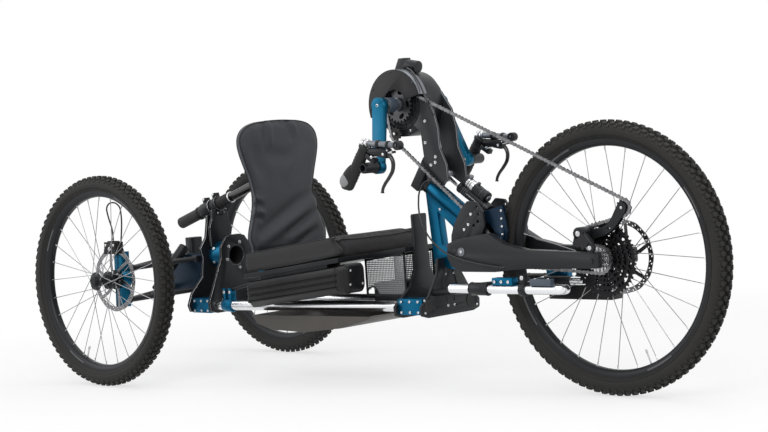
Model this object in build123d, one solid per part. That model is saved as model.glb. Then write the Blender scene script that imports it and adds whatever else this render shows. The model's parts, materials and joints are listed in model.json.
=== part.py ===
"""Recumbent hand-cranked trike: two cambered wheels at the back, one driven and steered wheel in front."""
import os
from math import asin, atan2, cos, pi, radians, sin, tan

from build123d import *

os.makedirs("parts", exist_ok=True)

# Millimetres. X is forward from the back axle, Y is to the rider's left, Z is up from the ground.
# ---- driving dimensions ----
wheelbase = 1700.0
track = 775.0                  # between the back wheels' middles, at axle height
camber = 2.0                   # degrees, tops leaning in

front_tyre_radius = 370.0      # out to the lugs' tips
front_tyre_height = 52.0       # from the rim's bed to the lugs' tips
front_lug_count = 28           # lugs on each side of the tread
rear_tyre_radius = 333.0
rear_tyre_height = 49.0
rear_lug_count = 24
tyre_half_width = 29.0
lug_height = 6.0
tread_groove = 2.0             # from the tyre's middle to its lugs
rim_bed = 18.0                 # from the rim's inner face out to the tyre
front_rim_bore = front_tyre_radius - front_tyre_height - rim_bed
rear_rim_bore = rear_tyre_radius - rear_tyre_height - rim_bed
tread_x = wheelbase - front_tyre_radius        # the front tyre's back, where the frame's front end stops
rim_width = 35.0
rim_inner_width = 18.0
spoke_radius = 1.1
spoke_count = 28
hub_flange_radius = 29.0
hub_barrel_radius = 17.0
running_gap = 0.05             # radial play of every turning fit

rotor_radius = 101.5
rotor_thickness = 2.0
rotor_carrier_radius = 62.0
caliper_gap = 5.0              # beside and round the rotor

# ---- frame ----
rail_half_span = 92.0
rail_radius = 16.0
rail_wall = 2.5
rail_play = 0.02               # between a rail and the plates that it passes through
plate_thickness = 9.0
tail_plate_x = 100.0
flange_plate_x = 198.0
nose_plate_x = tread_x - 320.0
front_plate_x = tread_x - 218.0
rail_recess = 3.0              # from the front plate's face back to the rails' open mouths
rail_rear = (tail_plate_x + 12.0, 224.0)       # x, z of the rails' back ends
rail_front = (front_plate_x + plate_thickness - rail_recess, 239.5)
backbone_z = 379.0
backbone_radius = 33.0
backbone_bore = 28.5

# ---- steering pivot ----
steer_point = (tread_x - 180.0, 527.0)         # x, z of a point on the steering axis
steer_slope = 35.0             # degrees below level, going forward
head_tube_top = -104.0         # along the axis from that point
head_tube_bottom = 95.0
head_tube_radius = 24.0
steerer_radius = 14.0
crown_gap = 2.0
crown_thickness = 30.0

# ---- drive ----
crank_centre = (tread_x - 318.0, 821.0)
crank_drop = 174.0
crank_reach = 38.0
spindle_radius = 17.0
spindle_half = 142.0
arm_thickness = 22.0
arm_splay = 60.0
housing_radius = 94.0
housing_half = 36.0
mast_thickness = 8.0
ring_radius = 50.0
cog_radii = (100.0, 84.0, 69.0, 56.0, 45.0, 36.0, 30.0, 25.0, 21.0)
cog_pitch = 4.4
cog_thickness = 1.6
cassette_inner = 30.0
chain_cog = 5                  # the cog that the chain is on, counted from the largest
chain_width = 5.2
chain_height = 8.0
chain_gap = 0.6
idler_thickness = 4.0

# ---- front arm ----
pivot_point = (tread_x - 106.0, 395.0)
pivot_plate_inner = 58.0
pivot_plate_thickness = 8.0
pivot_pin_radius = 9.0
fork_inner = 60.0
fork_outer = 90.0
axle_radius = 7.5
dropout_inner = 70.0

# ---- seat ----
seat_rear_x = 452.0
seat_front_x = 865.0
seat_half_width = 195.0
seat_slope = 7.2               # degrees, rising forward
seat_frame_z = 322.0           # underside of the seat frame at its back edge
seat_frame_thickness = 14.0
cushion_height = 62.0
cheek_width = 22.0
seat_nose_half = 62.0
seat_leg_length = 32.0
back_top = (433.0, 814.0)
back_bottom = (458.0, 372.0)
back_thickness = 24.0

# ---- battery, on the right below the seat ----
battery_length = 440.0
battery_ends = (seat_rear_x + 6, seat_rear_x + 6 + battery_length)
battery_sides = (-(seat_half_width + 4), -(seat_half_width - 80))
battery_height = 82.0
battery_drop = 10.0            # below the seat frame
battery_cap_length = 36.0
mesh_rear_x = 846.0
mesh_low_z = 262.0
mesh_thickness = 3.0
controller_size = (110.0, 66.0)

x_centre = (wheelbase + front_tyre_radius - rear_tyre_radius) / 2
front_axle = (wheelbase, front_tyre_radius)
rear_axle_z = rear_tyre_radius * cos(radians(camber)) + tread_groove * sin(radians(camber))
chain_y = -(cassette_inner + chain_cog * cog_pitch)

pieces = {}


# ---- helpers ----
def rod(start, end, radius):
    """Round bar between two points."""
    a, b = Vector(*start), Vector(*end)
    bar = Cylinder(radius, (b - a).length, align=(Align.CENTER, Align.CENTER, Align.MIN))
    return Plane(origin=a, z_dir=b - a) * bar


def pipe(start, end, radius, bore):
    return rod(start, end, radius) - rod(start, end, bore)


def outline(points, corner=0.0):
    shape = make_face(Polyline(*points, close=True))
    return fillet(shape.vertices(), corner) if corner else shape


def side_plate(points, y_from, y_to, corner=0.0):
    """Plate standing along the trike: points are (x, z)."""
    face = Plane.XZ * outline(points, corner)
    return Pos(0, y_from, 0) * extrude(face, amount=y_to - y_from, dir=(0, 1, 0))


def cross_plate(half_points, x_from, thickness, corner=0.0):
    """Plate standing across the trike: half_points are (y, z) of its left half, bottom to top."""
    points = list(half_points) + [(-y, z) for y, z in reversed(half_points)]
    face = Plane.YZ * outline(points, corner)
    return Pos(x_from, 0, 0) * extrude(face, amount=thickness, dir=(1, 0, 0))


def group(*shapes):
    """Separate solids kept in one node."""
    return Compound([solid for shape in shapes for solid in shape.solids()])


def both_sides(shape):
    """A left-hand piece and its mirror image."""
    return group(shape, mirror(shape, about=Plane.XZ))


def disc(x, z, radius, y_from, y_to, bore=0.0):
    """Round plate about a line along Y."""
    plate = rod((x, y_from, z), (x, y_to, z), radius)
    return plate - rod((x, y_from, z), (x, y_to, z), bore) if bore else plate


def rail_height(x):
    slope = (rail_front[1] - rail_rear[1]) / (rail_front[0] - rail_rear[0])
    return rail_rear[1] + slope * (x - rail_rear[0])


def seat_line(x, lift=0.0):
    """Height over the seat frame's underside, which rises forward."""
    return seat_frame_z + (x - seat_rear_x) * tan(radians(seat_slope)) + lift


def beside(place, points):
    """(x, z) points given from a place on the trike."""
    return [(place[0] + x, place[1] + z) for x, z in points]


def on_axis(along, above):
    """(x, z) of a point given along the steering axis and above it."""
    c, s = cos(radians(steer_slope)), sin(radians(steer_slope))
    return (steer_point[0] + along * c + above * s, steer_point[1] - along * s + above * c)


def bend_radii(points):
    """Radius at each inner point: 0.45 of the shorter run, over the tangent of half the turn."""
    places = [Vector(*point) for point in points]
    runs = [second - first for first, second in zip(places, places[1:])]
    return [0.45 * min(before.length, after.length) / tan(radians(before.get_angle(after)) / 2)
            for before, after in zip(runs, runs[1:])]


def cable(name, points, radius):
    """Tube of straight runs joined by tangent arcs."""
    radii = bend_radii(points)
    route = FilletPolyline(*points, radius=radii)
    tube = sweep(Plane(origin=route @ 0, z_dir=route % 0) * Circle(radius), path=route)
    share = tube.volume / (pi * radius * radius * route.length)
    bends = [round(bend) for bend in radii]
    print(name, "length", round(route.length), "bends", bends, "volume", round(share, 3))
    return tube


# ---- wheels: axis along Y, the outer side at +Y ----
# the tyre's section from the middle of its tread to the rim: drop below the lugs' tips as a share of the
# tyre's height, and distance out as a share of its half width
tread_edge = (0.20, 0.76)
tyre_side = (0.56, 1.0)
tyre_bead = (0.94, 0.62)


def tyre(outer, height, lug_count):
    """Knobbly tyre of flat faces: each side of its tread has a lug over every other face."""
    step = pi / lug_count

    def corner(radius, column, y):
        turn = (column - 0.5) * step - pi / 2
        reach = radius / cos(step / 2)
        return (reach * cos(turn), y, reach * sin(turn))

    def patch(column, *rows):
        """Flat face over one column between rows of (radius, y)."""
        (r1, y1), (r2, y2) = rows
        return [corner(r1, column, y1), corner(r1, column + 1, y1), corner(r2, column + 1, y2),
                corner(r2, column, y2)]

    faces = []
    for side in (1, -1):
        edge, flank, bead = [(outer - drop * height, side * out * tyre_half_width)
                             for drop, out in (tread_edge, tyre_side, tyre_bead)]
        tops = [(outer, side * tread_groove), edge]
        roots = [(radius - lug_height, y) for radius, y in tops]
        hollow = (outer - height - lug_height, bead[1])
        for column in range(2 * lug_count):
            raised = column % 2 == (0 if side > 0 else 1)
            faces += [patch(column, *(tops if raised else roots)), patch(column, roots[1], flank),
                      patch(column, flank, bead), patch(column, bead, hollow)]
            if raised:
                faces += [patch(column, tops[0], roots[0]), patch(column, tops[1], roots[1])]
            faces.append([corner(radius, column, y) for radius, y in (*tops, *reversed(roots))])
            if side > 0:
                for radius, y in (roots[0], hollow):
                    faces.append(patch(column, (radius, y), (radius, -y)))
    body = Solid(Shell([make_face(Polyline(*points, close=True)).face() for points in faces]))
    return body - rod((0, -tyre_half_width, 0), (0, tyre_half_width, 0), outer - height)


def rim(bore):
    half, inner = rim_width / 2, rim_inner_width / 2
    points = [(bore, -inner), (bore + rim_bed / 3, -half), (bore + rim_bed, -half),
              (bore + rim_bed, half), (bore + rim_bed / 3, half), (bore, inner)]
    return revolve(outline(points), axis=Axis.Y)


def spoked_hub(bore, flanges, ends, axle):
    """Hub with spokes: flanges and ends are (inner y, outer y), axle is the radius that it turns on."""
    hub = rod((0, ends[0], 0), (0, ends[1], 0), hub_barrel_radius)
    for flange in flanges:
        hub += rod((0, flange - 2, 0), (0, flange + 2, 0), hub_flange_radius)
    foot = hub_flange_radius - 3
    for index in range(spoke_count):
        turn = 2 * pi * index / spoke_count
        lead = turn + (0.9 if index % 4 < 2 else -0.9)
        start = (foot * cos(lead), flanges[index % 2], foot * sin(lead))
        hub += rod(start, (bore * cos(turn), 0, bore * sin(turn)), spoke_radius)
    return hub - rod((0, ends[0], 0), (0, ends[1], 0), axle + running_gap)


def rotor(y, inner):
    """Brake disc with arms to its carrier."""
    band = disc(0, 0, rotor_radius, y - rotor_thickness / 2, y + rotor_thickness / 2, rotor_radius - 16)
    boss = disc(0, 0, rotor_carrier_radius / 2, y - rotor_thickness / 2, y + rotor_thickness / 2)
    body = band + boss
    for index in range(6):
        turn = index * 60.0
        arm = Pos(rotor_radius / 2, y, 0) * Box(rotor_radius - 8, rotor_thickness, 9)
        body += Rot(0, turn, 0) * arm
    return body - rod((0, y - 5, 0), (0, y + 5, 0), inner)


def at_front(shape):
    return Pos(front_axle[0], 0, front_axle[1]) * shape


def at_left(shape):
    return Pos(0, track / 2, rear_axle_z) * Rot(camber, 0, 0) * shape


rear_hub_ends = (-56.0, 34.0)
rear_flanges = (-22.0, 26.0)
rear_axle_radius = 8.5
rear_rotor_y = -49.5
front_hub_ends = (-28.0, 62.0)
front_flanges = (-20.0, 30.0)
front_rotor_y = 50.0


def add_wheels():
    pieces["front_tyre"] = at_front(tyre(front_tyre_radius, front_tyre_height, front_lug_count))
    pieces["front_rim"] = at_front(rim(front_rim_bore))
    pieces["front_hub"] = at_front(spoked_hub(front_rim_bore, front_flanges, front_hub_ends, axle_radius))
    pieces["front_rotor"] = at_front(rotor(front_rotor_y, hub_barrel_radius))
    left = {
        "tyre": tyre(rear_tyre_radius, rear_tyre_height, rear_lug_count),
        "rim": rim(rear_rim_bore),
        "hub": spoked_hub(rear_rim_bore, rear_flanges, rear_hub_ends, rear_axle_radius) + hub_cap(),
        "rotor": rotor(rear_rotor_y, hub_barrel_radius),
    }
    for name, shape in left.items():
        placed = at_left(shape)
        pieces[f"left_{name}"] = placed
        pieces[f"right_{name}"] = mirror(placed, about=Plane.XZ)


def hub_cap():
    """Cap that closes the hub's outer end, clear of the axle's tip."""
    return rod((0, rear_hub_ends[1], 0), (0, rear_hub_ends[1] + 6, 0), hub_barrel_radius)


def cassette():
    """Cogs on the front hub's right side, the largest next to the spokes."""
    core = min(cog_radii) - 4
    outer = cassette_inner + (len(cog_radii) - 1) * cog_pitch + cog_thickness / 2
    body = disc(0, 0, core, -outer, front_hub_ends[0])
    for index, radius in enumerate(cog_radii):
        y = -(cassette_inner + index * cog_pitch)
        cog_radius = radius - chain_height / 2 - chain_gap
        body += disc(0, 0, cog_radius, y - cog_thickness / 2, y + cog_thickness / 2)
    return body - rod((0, -outer, 0), (0, front_hub_ends[0], 0), axle_radius + running_gap)


# ---- back suspension ----
upper_joint = (0.0, track / 2 - 119.5, rear_axle_z + 28.2)
lower_joint = (0.0, track / 2 - 101.5, rear_axle_z - 71.8)
arm_pivot_x = (-72.0, 72.0)
upper_pivot = (58.0, 372.0)    # y, z
lower_pivot = (58.0, 272.0)
arm_radius = 8.5
joint_radius = 13.0
carrier_half = 48.0


def suspension_arms():
    """Upper and lower wishbone of the left wheel."""
    arms = []
    for (y, z), joint in ((upper_pivot, upper_joint), (lower_pivot, lower_joint)):
        arm = Pos(*joint) * Sphere(joint_radius)
        for x in arm_pivot_x:
            arm += rod((x, y, z), joint, arm_radius)
            arm += rod((x - 12, y, z), (x + 12, y, z), arm_radius + 2)
        arm += rod((arm_pivot_x[0] / 2, (y + joint[1]) / 2, (z + joint[2]) / 2),
                   (arm_pivot_x[1] / 2, (y + joint[1]) / 2, (z + joint[2]) / 2), arm_radius - 1)
        arms.append(arm)
    return arms


upright_y = (-96.0, -63.0)     # in the wheel's own frame


def upright():
    """Left upright with its stub axle, in the wheel's frame."""
    inner, outer = upright_y
    body = Pos(0, (inner + outer) / 2, 0) * Box(36, outer - inner, 176)
    body += rod((0, inner, 0), (0, outer, 0), 30)
    body += rod((0, outer, 0), (0, rear_hub_ends[0] - 1, 0), rear_axle_radius + 4)
    body += rod((0, outer, 0), (0, rear_hub_ends[1] - 2, 0), rear_axle_radius)
    body = at_left(body)
    for joint in (upper_joint, lower_joint):
        body -= Pos(*joint) * Sphere(joint_radius)
    return body


def caliper(rotor_y, angle, inner):
    """Brake caliper over the rotor's edge, in the wheel's frame; inner is where its foot starts."""
    body = Pos(rotor_radius, rotor_y, 0) * Box(46, 36, 62)
    slot = disc(0, 0, rotor_radius + caliper_gap, rotor_y - caliper_gap - 1, rotor_y + caliper_gap + 1)
    edge = rotor_y + (18 if inner > rotor_y else -18)
    foot = Pos(rotor_radius - 6, (inner + edge) / 2, 0) * Box(30, abs(edge - inner), 30)
    return Rot(0, -angle, 0) * (body - slot + foot)


def add_back_end():
    pieces["wishbones"] = both_sides(group(*suspension_arms()))
    pieces["uprights"] = both_sides(upright())
    pieces["rear_calipers"] = both_sides(at_left(caliper(rear_rotor_y, 90.0, upright_y[1] - 12)) - upright())
    top = (0.0, carrier_half - 4, upper_pivot[1] + 36)
    foot = (0.0, (lower_pivot[0] + lower_joint[1]) / 2 + 4, (lower_pivot[1] + lower_joint[2]) / 2 + 16.5)
    shock = shock_absorber(top, foot, 17.0)
    pieces["rear_shocks"] = both_sides(shock)
    pieces["rear_carrier"] = rear_carrier()
    pieces["brake_hoses"] = brake_hoses()


def rear_carrier():
    """Box behind the tail plate that carries the wishbones and the shocks."""
    width = 2 * carrier_half - 6
    x_from = arm_pivot_x[0] - 40
    body = Pos((x_from + tail_plate_x) / 2, 0, (upper_pivot[1] + lower_pivot[1]) / 2) * Box(
        tail_plate_x - x_from, width, upper_pivot[1] - lower_pivot[1] + 24)
    return body + Pos(0, 0, upper_pivot[1] + 36) * Box(30, 50, 60)


hose_radius = 2.5
# the left hose, from the caliper up in a loop and down to the upright:
# x, y from the wheel's middle, z from the axle
hose_route = ((0, -53.5, 117), (1, -52.5, 159), (-3, -43.5, 195), (-7, -40, 228), (-8, -54.5, 244),
              (-5, -76.5, 243), (-1, -91, 227), (1, -92.5, 187), (1, -87.5, 143), (0, -82.5, 107),
              (0, -81.5, 85))


def brake_hoses():
    points = [(x, track / 2 + y, rear_axle_z + z) for x, y, z in hose_route]
    hose = cable("brake hose", points, hose_radius)
    return both_sides(hose - pieces["uprights"]) - pieces["rear_calipers"] - pieces["uprights"]


def shock_absorber(start, end, radius):
    """Air spring with a thinner shaft and an eye at each end."""
    a, b = Vector(*start), Vector(*end)
    run = (b - a).normalized()
    joint = tuple(a + (b - a) * 0.6)
    body = rod(start, joint, radius) + rod(joint, end, radius * 0.5)
    return body + rod(tuple(b - run * (radius * 1.2)), end, radius * 0.8)


# ---- main frame ----
tail_plate = ((86, 200), (124, 204), (132, 226), (116, 262), (66, 312), (58, 372), (66, 404),
              (40, 440), (30, 492), (30, 512))
flange_plate = ((96, 200), (124, 208), (128, 236), (66, 372), (64, 408), (40, 440), (18, 446))
neck_plate = ((44, 408), (46, 470), (34, 500), (34, 528))
nose_plate = ((96, 204), (126, 212), (128, 240), (60, 290), (34, 340), (28, 420), (30, 500))
front_plate = ((98, 206), (126, 214), (128, 240), (92, 270), (52, 330), (46, 372))
push_bar_rear = (-54.0, 485.0)
push_bar_front = (425.0, 638.0)
push_bar_radius = 15.0
grip_radius = 19.0
grip_front_x = 196.0
grip_stop_x = (40.0, 48.0)     # ring that ends the grip's free length
grip_stop_height = 3.0
collar_wall = 6.0
collar_rear_x = 65.0
neck_plate_x = 130.0


def bar_height(x):
    rise = (push_bar_front[1] - push_bar_rear[1]) / (push_bar_front[0] - push_bar_rear[0])
    return push_bar_rear[1] + rise * (x - push_bar_rear[0])


def rails(radius, beyond=0.0):
    """Both rails as solid bars, going on beyond their front ends."""
    end_x = rail_front[0] + beyond
    rear_end = (rail_rear[0], rail_half_span, rail_rear[1])
    left = rod(rear_end, (end_x, rail_half_span, rail_height(end_x)), radius)
    return left + mirror(left, about=Plane.XZ)


def bar_point(x):
    return (x, 0, bar_height(x))


def rail_pipes():
    left = pipe((rail_rear[0], rail_half_span, rail_rear[1]), (rail_front[0], rail_half_span, rail_front[1]),
                rail_radius, rail_radius - rail_wall)
    return both_sides(left)


def collar(x_from, x_to):
    """Clamp round the push bar's grip."""
    return pipe(bar_point(x_from), bar_point(x_to), grip_radius + collar_wall, grip_radius)


def rail_clamps():
    """Blocks on the rails between two plates, behind and in front."""
    clamps = []
    for x_from, x_to in ((tail_plate_x + plate_thickness, flange_plate_x),
                         (nose_plate_x + plate_thickness, front_plate_x)):
        middle = (x_from + x_to) / 2
        block = Pos(middle, rail_half_span, rail_height(middle)) * Box(x_to - x_from, 50, 46)
        clamps += [block - rails(rail_radius), mirror(block, about=Plane.XZ) - rails(rail_radius)]
    return group(*clamps)


def add_frame():
    pieces["rails"] = rail_pipes()
    rail_holes = rails(rail_radius + rail_play, plate_thickness)
    bar_hole = rod(bar_point(push_bar_rear[0]), bar_point(push_bar_front[0]), grip_radius)
    backbone_ends = ((tail_plate_x + plate_thickness, 0, backbone_z),
                     (flange_plate_x + plate_thickness, 0, backbone_z))
    pieces["backbone"] = pipe(*backbone_ends, backbone_radius, backbone_bore)
    backbone_hole = rod(*backbone_ends, backbone_radius)
    tail = cross_plate(tail_plate, tail_plate_x, plate_thickness, 6)
    tail += collar(collar_rear_x, tail_plate_x + plate_thickness)
    pieces["tail_plate"] = tail - rail_holes - bar_hole
    neck = cross_plate(neck_plate, neck_plate_x, plate_thickness, 3)
    neck += collar(neck_plate_x - 4, neck_plate_x + plate_thickness + 4)
    flange = cross_plate(flange_plate, flange_plate_x, plate_thickness, 6)
    pieces["flange_plates"] = group(neck - backbone_hole - bar_hole, flange - backbone_hole - rail_holes)
    stop_ends = [bar_point(x) for x in grip_stop_x]
    grip = pipe(bar_point(push_bar_rear[0]), bar_point(grip_front_x), grip_radius, push_bar_radius)
    stop = pipe(*stop_ends, grip_radius + grip_stop_height, push_bar_radius)
    pieces["push_grip"] = grip + stop
    push_bar = rod(bar_point(push_bar_rear[0]), bar_point(push_bar_front[0]), push_bar_radius)
    pieces["push_bar"] = push_bar + back_support()
    pieces["rail_clamps"] = rail_clamps()
    column = head_column()
    pieces["nose_plate"] = cross_plate(nose_plate, nose_plate_x, plate_thickness, 6) - rail_holes
    pieces["front_plate"] = cross_plate(front_plate, front_plate_x, plate_thickness, 6) - rail_holes - column
    pieces["head_column"] = column


column_half = 15.0
# x, z from the steering point
column_outline = ((-88, 39), (-70, -177), (-2, -189), (28, -127), (66, -72), (50, -47), (-50, 23))
column_window = ((-48, -19), (-38, -119), (0, -135), (16, -99), (8, -65))


def head_column():
    """Blue column with its window, and the head tube on its top edge."""
    web = side_plate(beside(steer_point, column_outline), -column_half, column_half)
    web -= side_plate(beside(steer_point, column_window), -column_half, column_half)
    top, bottom = on_axis(head_tube_top, 0), on_axis(head_tube_bottom, 0)
    tube = rod((top[0], 0, top[1]), (bottom[0], 0, bottom[1]), head_tube_radius)
    bore = rod((top[0], 0, top[1]), (bottom[0], 0, bottom[1]), steerer_radius + running_gap)
    return web + tube - bore


# ---- seat, battery and covers ----
def seat_slab(x_from, x_to, y_from, y_to, low, high, corner=0.0):
    """Block that follows the seat's slope, between two heights over the seat frame's underside."""
    points = [(x_from, seat_line(x_from, low)), (x_to, seat_line(x_to, low)),
              (x_to, seat_line(x_to, high)), (x_from, seat_line(x_from, high))]
    return side_plate(points, y_from, y_to, corner)


def seat_frame():
    """Seat pan, its narrow nose out to the nose plate, its legs and the battery's bracket."""
    thick = seat_frame_thickness
    frame = seat_slab(seat_rear_x, seat_front_x, -seat_half_width, seat_half_width, 0, thick)
    frame += seat_slab(seat_front_x, nose_plate_x, -seat_nose_half, seat_nose_half, 0, thick)
    leg_x = (seat_rear_x, seat_rear_x + seat_leg_length)
    foot = rail_height(seat_rear_x) + 8
    leg = side_plate([(leg_x[0], foot), (leg_x[1], foot), (leg_x[1], seat_line(leg_x[1], thick / 2)),
                      (leg_x[0], seat_line(leg_x[0], thick / 2))], rail_half_span - 12, rail_half_span + 12)
    frame += (leg + mirror(leg, about=Plane.XZ)) - rails(rail_radius)
    y_outer, y_inner = battery_sides
    x_from, x_to = battery_ends
    return frame + seat_slab(x_from + 60, x_to - 90, y_outer + 14, y_inner - 14, -battery_drop, 1)


def add_seat():
    low = seat_frame_thickness
    pieces["seat_frame"] = seat_frame()
    side = seat_half_width - cheek_width
    top = low + cushion_height
    pieces["seat_cushion"] = seat_slab(seat_rear_x + 30, seat_front_x, -side, side, low, top, 12)
    cheek = seat_slab(seat_rear_x + 6, seat_front_x - 12, side, seat_half_width, low, top + 6,
                      cheek_width / 2 - 1)
    pieces["seat_cheeks"] = both_sides(cheek)
    pieces["seat_back"] = seat_back()


back_widths = ((0.0, 150.0), (0.16, 172.0), (0.42, 138.0), (0.55, 142.0), (0.80, 176.0), (0.93, 160.0),
               (1.0, 96.0))


def back_plane(offset):
    """The backrest's own leaning plane, offset forward from its middle."""
    plane = Plane(origin=(back_bottom[0], 0, back_bottom[1]), x_dir=(0, 1, 0),
                  z_dir=(back_top[1] - back_bottom[1], 0, back_bottom[0] - back_top[0]))
    return plane.offset(offset)


def seat_back():
    """Backrest: hourglass outline in its own leaning plane."""
    height = ((back_top[0] - back_bottom[0]) ** 2 + (back_top[1] - back_bottom[1]) ** 2) ** 0.5
    points = [(half, share * height) for share, half in back_widths]
    points += [(-half, share * height) for share, half in reversed(back_widths)]
    return extrude(back_plane(0) * outline(points, 20), amount=back_thickness / 2, both=True)


def back_support():
    """Plate behind the backrest, on the push bar's front end."""
    plate = Pos(0, push_bar_front[1] - back_bottom[1]) * Rectangle(120, 150)
    return extrude(back_plane(-back_thickness / 2) * plate, amount=-8)


def add_battery():
    y_outer, y_inner = battery_sides
    x_from, x_to = battery_ends
    low, high = -battery_drop - battery_height, -battery_drop
    body = seat_slab(x_from, x_to - battery_cap_length, y_outer, y_inner, low, high, 10)
    cap = seat_slab(x_to - battery_cap_length - 1, x_to, y_outer, y_inner, low - 3, high + 3, 8)
    pieces["battery"] = body + cap
    top = [(x, seat_line(x)) for x in (nose_plate_x, seat_front_x, mesh_rear_x)]
    panel = side_plate([(mesh_rear_x, mesh_low_z), (nose_plate_x, mesh_low_z), *top],
                       seat_nose_half, seat_nose_half + mesh_thickness)
    pieces["mesh_panels"] = both_sides(panel)
    length, height = controller_size
    middle_x = nose_plate_x - 25 - length / 2
    pieces["controller"] = Pos(middle_x, 0, mesh_low_z + 6) * Box(length, 2 * seat_nose_half, height)
    pieces["belly_pan"] = belly_pan()


# x, z of the pan's outline: its back half from the seat's back edge, its front end from the nose plate
pan_back = ((348, 172), (188, 156), (48, 160), (-16, 178), (-36, 204))
pan_front = ((-78, 210), (-110, 196))
pan_half_width = 140.0
pan_wall = 4.0


def belly_pan():
    """Shallow open pan under the rails."""
    back, front = beside((seat_rear_x, 0), pan_back), beside((nose_plate_x, 0), pan_front)
    shell = side_plate(front + back, -pan_half_width, pan_half_width)
    drawn_in = 2 * pan_wall
    middle = (seat_rear_x + nose_plate_x) / 2
    inner = [(x + (drawn_in if x < middle else -drawn_in), z + pan_wall) for x, z in front + back]
    return shell - side_plate(inner, pan_wall - pan_half_width, pan_half_width - pan_wall)


# ---- footrests ----
foot_rear_x = tread_x - 95.0
foot_tip_x = wheelbase - 78.0
foot_inner_end_x = tread_x + 55.0
foot_outer_y = 126.0
foot_inner_y = 95.0
foot_z = 296.0
foot_radius = 12.5
foot_sleeve_x = (tread_x - 18.0, tread_x + 42.0)
foot_sleeve_radius = 18.0
foot_wrap_x = (tread_x + 68.0, tread_x + 160.0)
foot_wrap_radius = 14.5
foot_saddle_x = tread_x + 98.0
foot_saddle_y = 121.0
cup_sides = (100.0, 152.0)
# x from the footrests' tips, z from their middles
cup_outline = ((-218, -52), (-2, -52), (2, -34), (-62, -34), (-82, -10), (-122, 4), (-146, -10), (-218, -40))
carrier_start = (front_plate_x + plate_thickness, 72.0, 276.0)
carrier_radius = 10.0


def footrest():
    """Left footrest tube: along the wheel and back in a U."""
    route = FilletPolyline((foot_rear_x, foot_outer_y, foot_z), (foot_tip_x, foot_outer_y, foot_z),
                           (foot_tip_x, foot_inner_y, foot_z), (foot_inner_end_x, foot_inner_y, foot_z),
                           radius=(foot_outer_y - foot_inner_y) / 2 - 0.5)
    return sweep(Plane(origin=route @ 0, z_dir=route % 0) * Circle(foot_radius), path=route)


def foot_carrier(tube):
    """Sleeve round the left footrest's outer leg, on an arm from the front plate."""
    sleeve = rod(*[(x, foot_outer_y, foot_z) for x in foot_sleeve_x], foot_sleeve_radius)
    arm_end = (foot_sleeve_x[0] + 20, foot_outer_y - 12, foot_z - 2)
    return sleeve + rod(carrier_start, arm_end, carrier_radius) - tube - pieces["front_plate"]


def add_footrests():
    tube = footrest()
    wrap = rod(*[(x, foot_inner_y, foot_z) for x in foot_wrap_x], foot_wrap_radius)
    pieces["footrests"] = both_sides(tube)
    pieces["foot_carriers"] = both_sides(group(foot_carrier(tube), wrap - tube))
    saddle = Pos(foot_saddle_x, foot_saddle_y, foot_z + foot_radius + 9) * Box(70, 28, 20)
    cup = side_plate(beside((foot_tip_x, foot_z), cup_outline), *cup_sides) - tube - wrap
    pieces["foot_supports"] = group(both_sides(saddle - tube - wrap), cup)


# ---- steered assembly ----
def sense_tangent(first, second):
    """Run from one pulley to the next: each is (x, z, radius, sense), sense 1 for clockwise."""
    (x1, z1, r1, s1), (x2, z2, r2, s2) = first, second
    dx, dz = x2 - x1, z2 - z1
    turn = atan2(dz, dx) - asin((s1 * r1 - s2 * r2) / (dx * dx + dz * dz) ** 0.5)
    left = (-sin(turn), cos(turn))
    return ((x1 + s1 * r1 * left[0], z1 + s1 * r1 * left[1]),
            (x2 + s2 * r2 * left[0], z2 + s2 * r2 * left[1]))


def belt_face(pulleys, offset):
    """Face inside a belt that lies offset outside its pitch line."""
    moved = [(x, z, r + s * offset, s) for x, z, r, s in pulleys]
    count = len(moved)
    runs = [sense_tangent(moved[i], moved[(i + 1) % count]) for i in range(count)]
    edges = []
    for index in range(count):
        x, z, r, s = moved[index]
        arrive, leave = runs[index - 1][1], runs[index][0]
        start = atan2(arrive[1] - z, arrive[0] - x)
        sweep_angle = atan2(leave[1] - z, leave[0] - x) - start
        while sweep_angle * s > 0:
            sweep_angle -= s * 2 * pi
        while sweep_angle * s < -2 * pi:
            sweep_angle += s * 2 * pi
        middle = start + sweep_angle / 2
        edges.append(ThreePointArc(arrive, (x + r * cos(middle), z + r * sin(middle)), leave))
        edges.append(Line(*runs[index]))
    return make_face(edges)


motor_idler = (crank_centre[0] - 16, crank_centre[1] - 84, 20.0)
arm_idler = (front_axle[0] - 255, front_axle[1] + 7, 26.0)
guide_pulley = (front_axle[0] - 32, front_axle[1] + 66, 21.0)
tension_pulley = (front_axle[0] + 85, front_axle[1] + 138, 21.0)
chain_pulleys = ((*crank_centre, ring_radius, 1), (*tension_pulley, 1), (*guide_pulley, -1),
                 (*front_axle, cog_radii[chain_cog], 1), (*arm_idler, 1), (*motor_idler, 1))


def chain():
    half = chain_height / 2
    band = belt_face(chain_pulleys, half) - belt_face(chain_pulleys, -half)
    band = Plane.XZ * band
    return Pos(0, chain_y - chain_width / 2, 0) * extrude(band, amount=chain_width, dir=(0, 1, 0))


def idler(pulley, face_y):
    """Guide wheel on a pin that stands on the face at face_y."""
    x, z, pitch = pulley
    wheel = disc(x, z, pitch - chain_height / 2 - chain_gap, chain_y - idler_thickness / 2,
                 chain_y + idler_thickness / 2)
    pin_end = chain_y + (idler_thickness if face_y < chain_y else -idler_thickness)
    return wheel + rod((x, face_y, z), (x, pin_end, z), 5)


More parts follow.
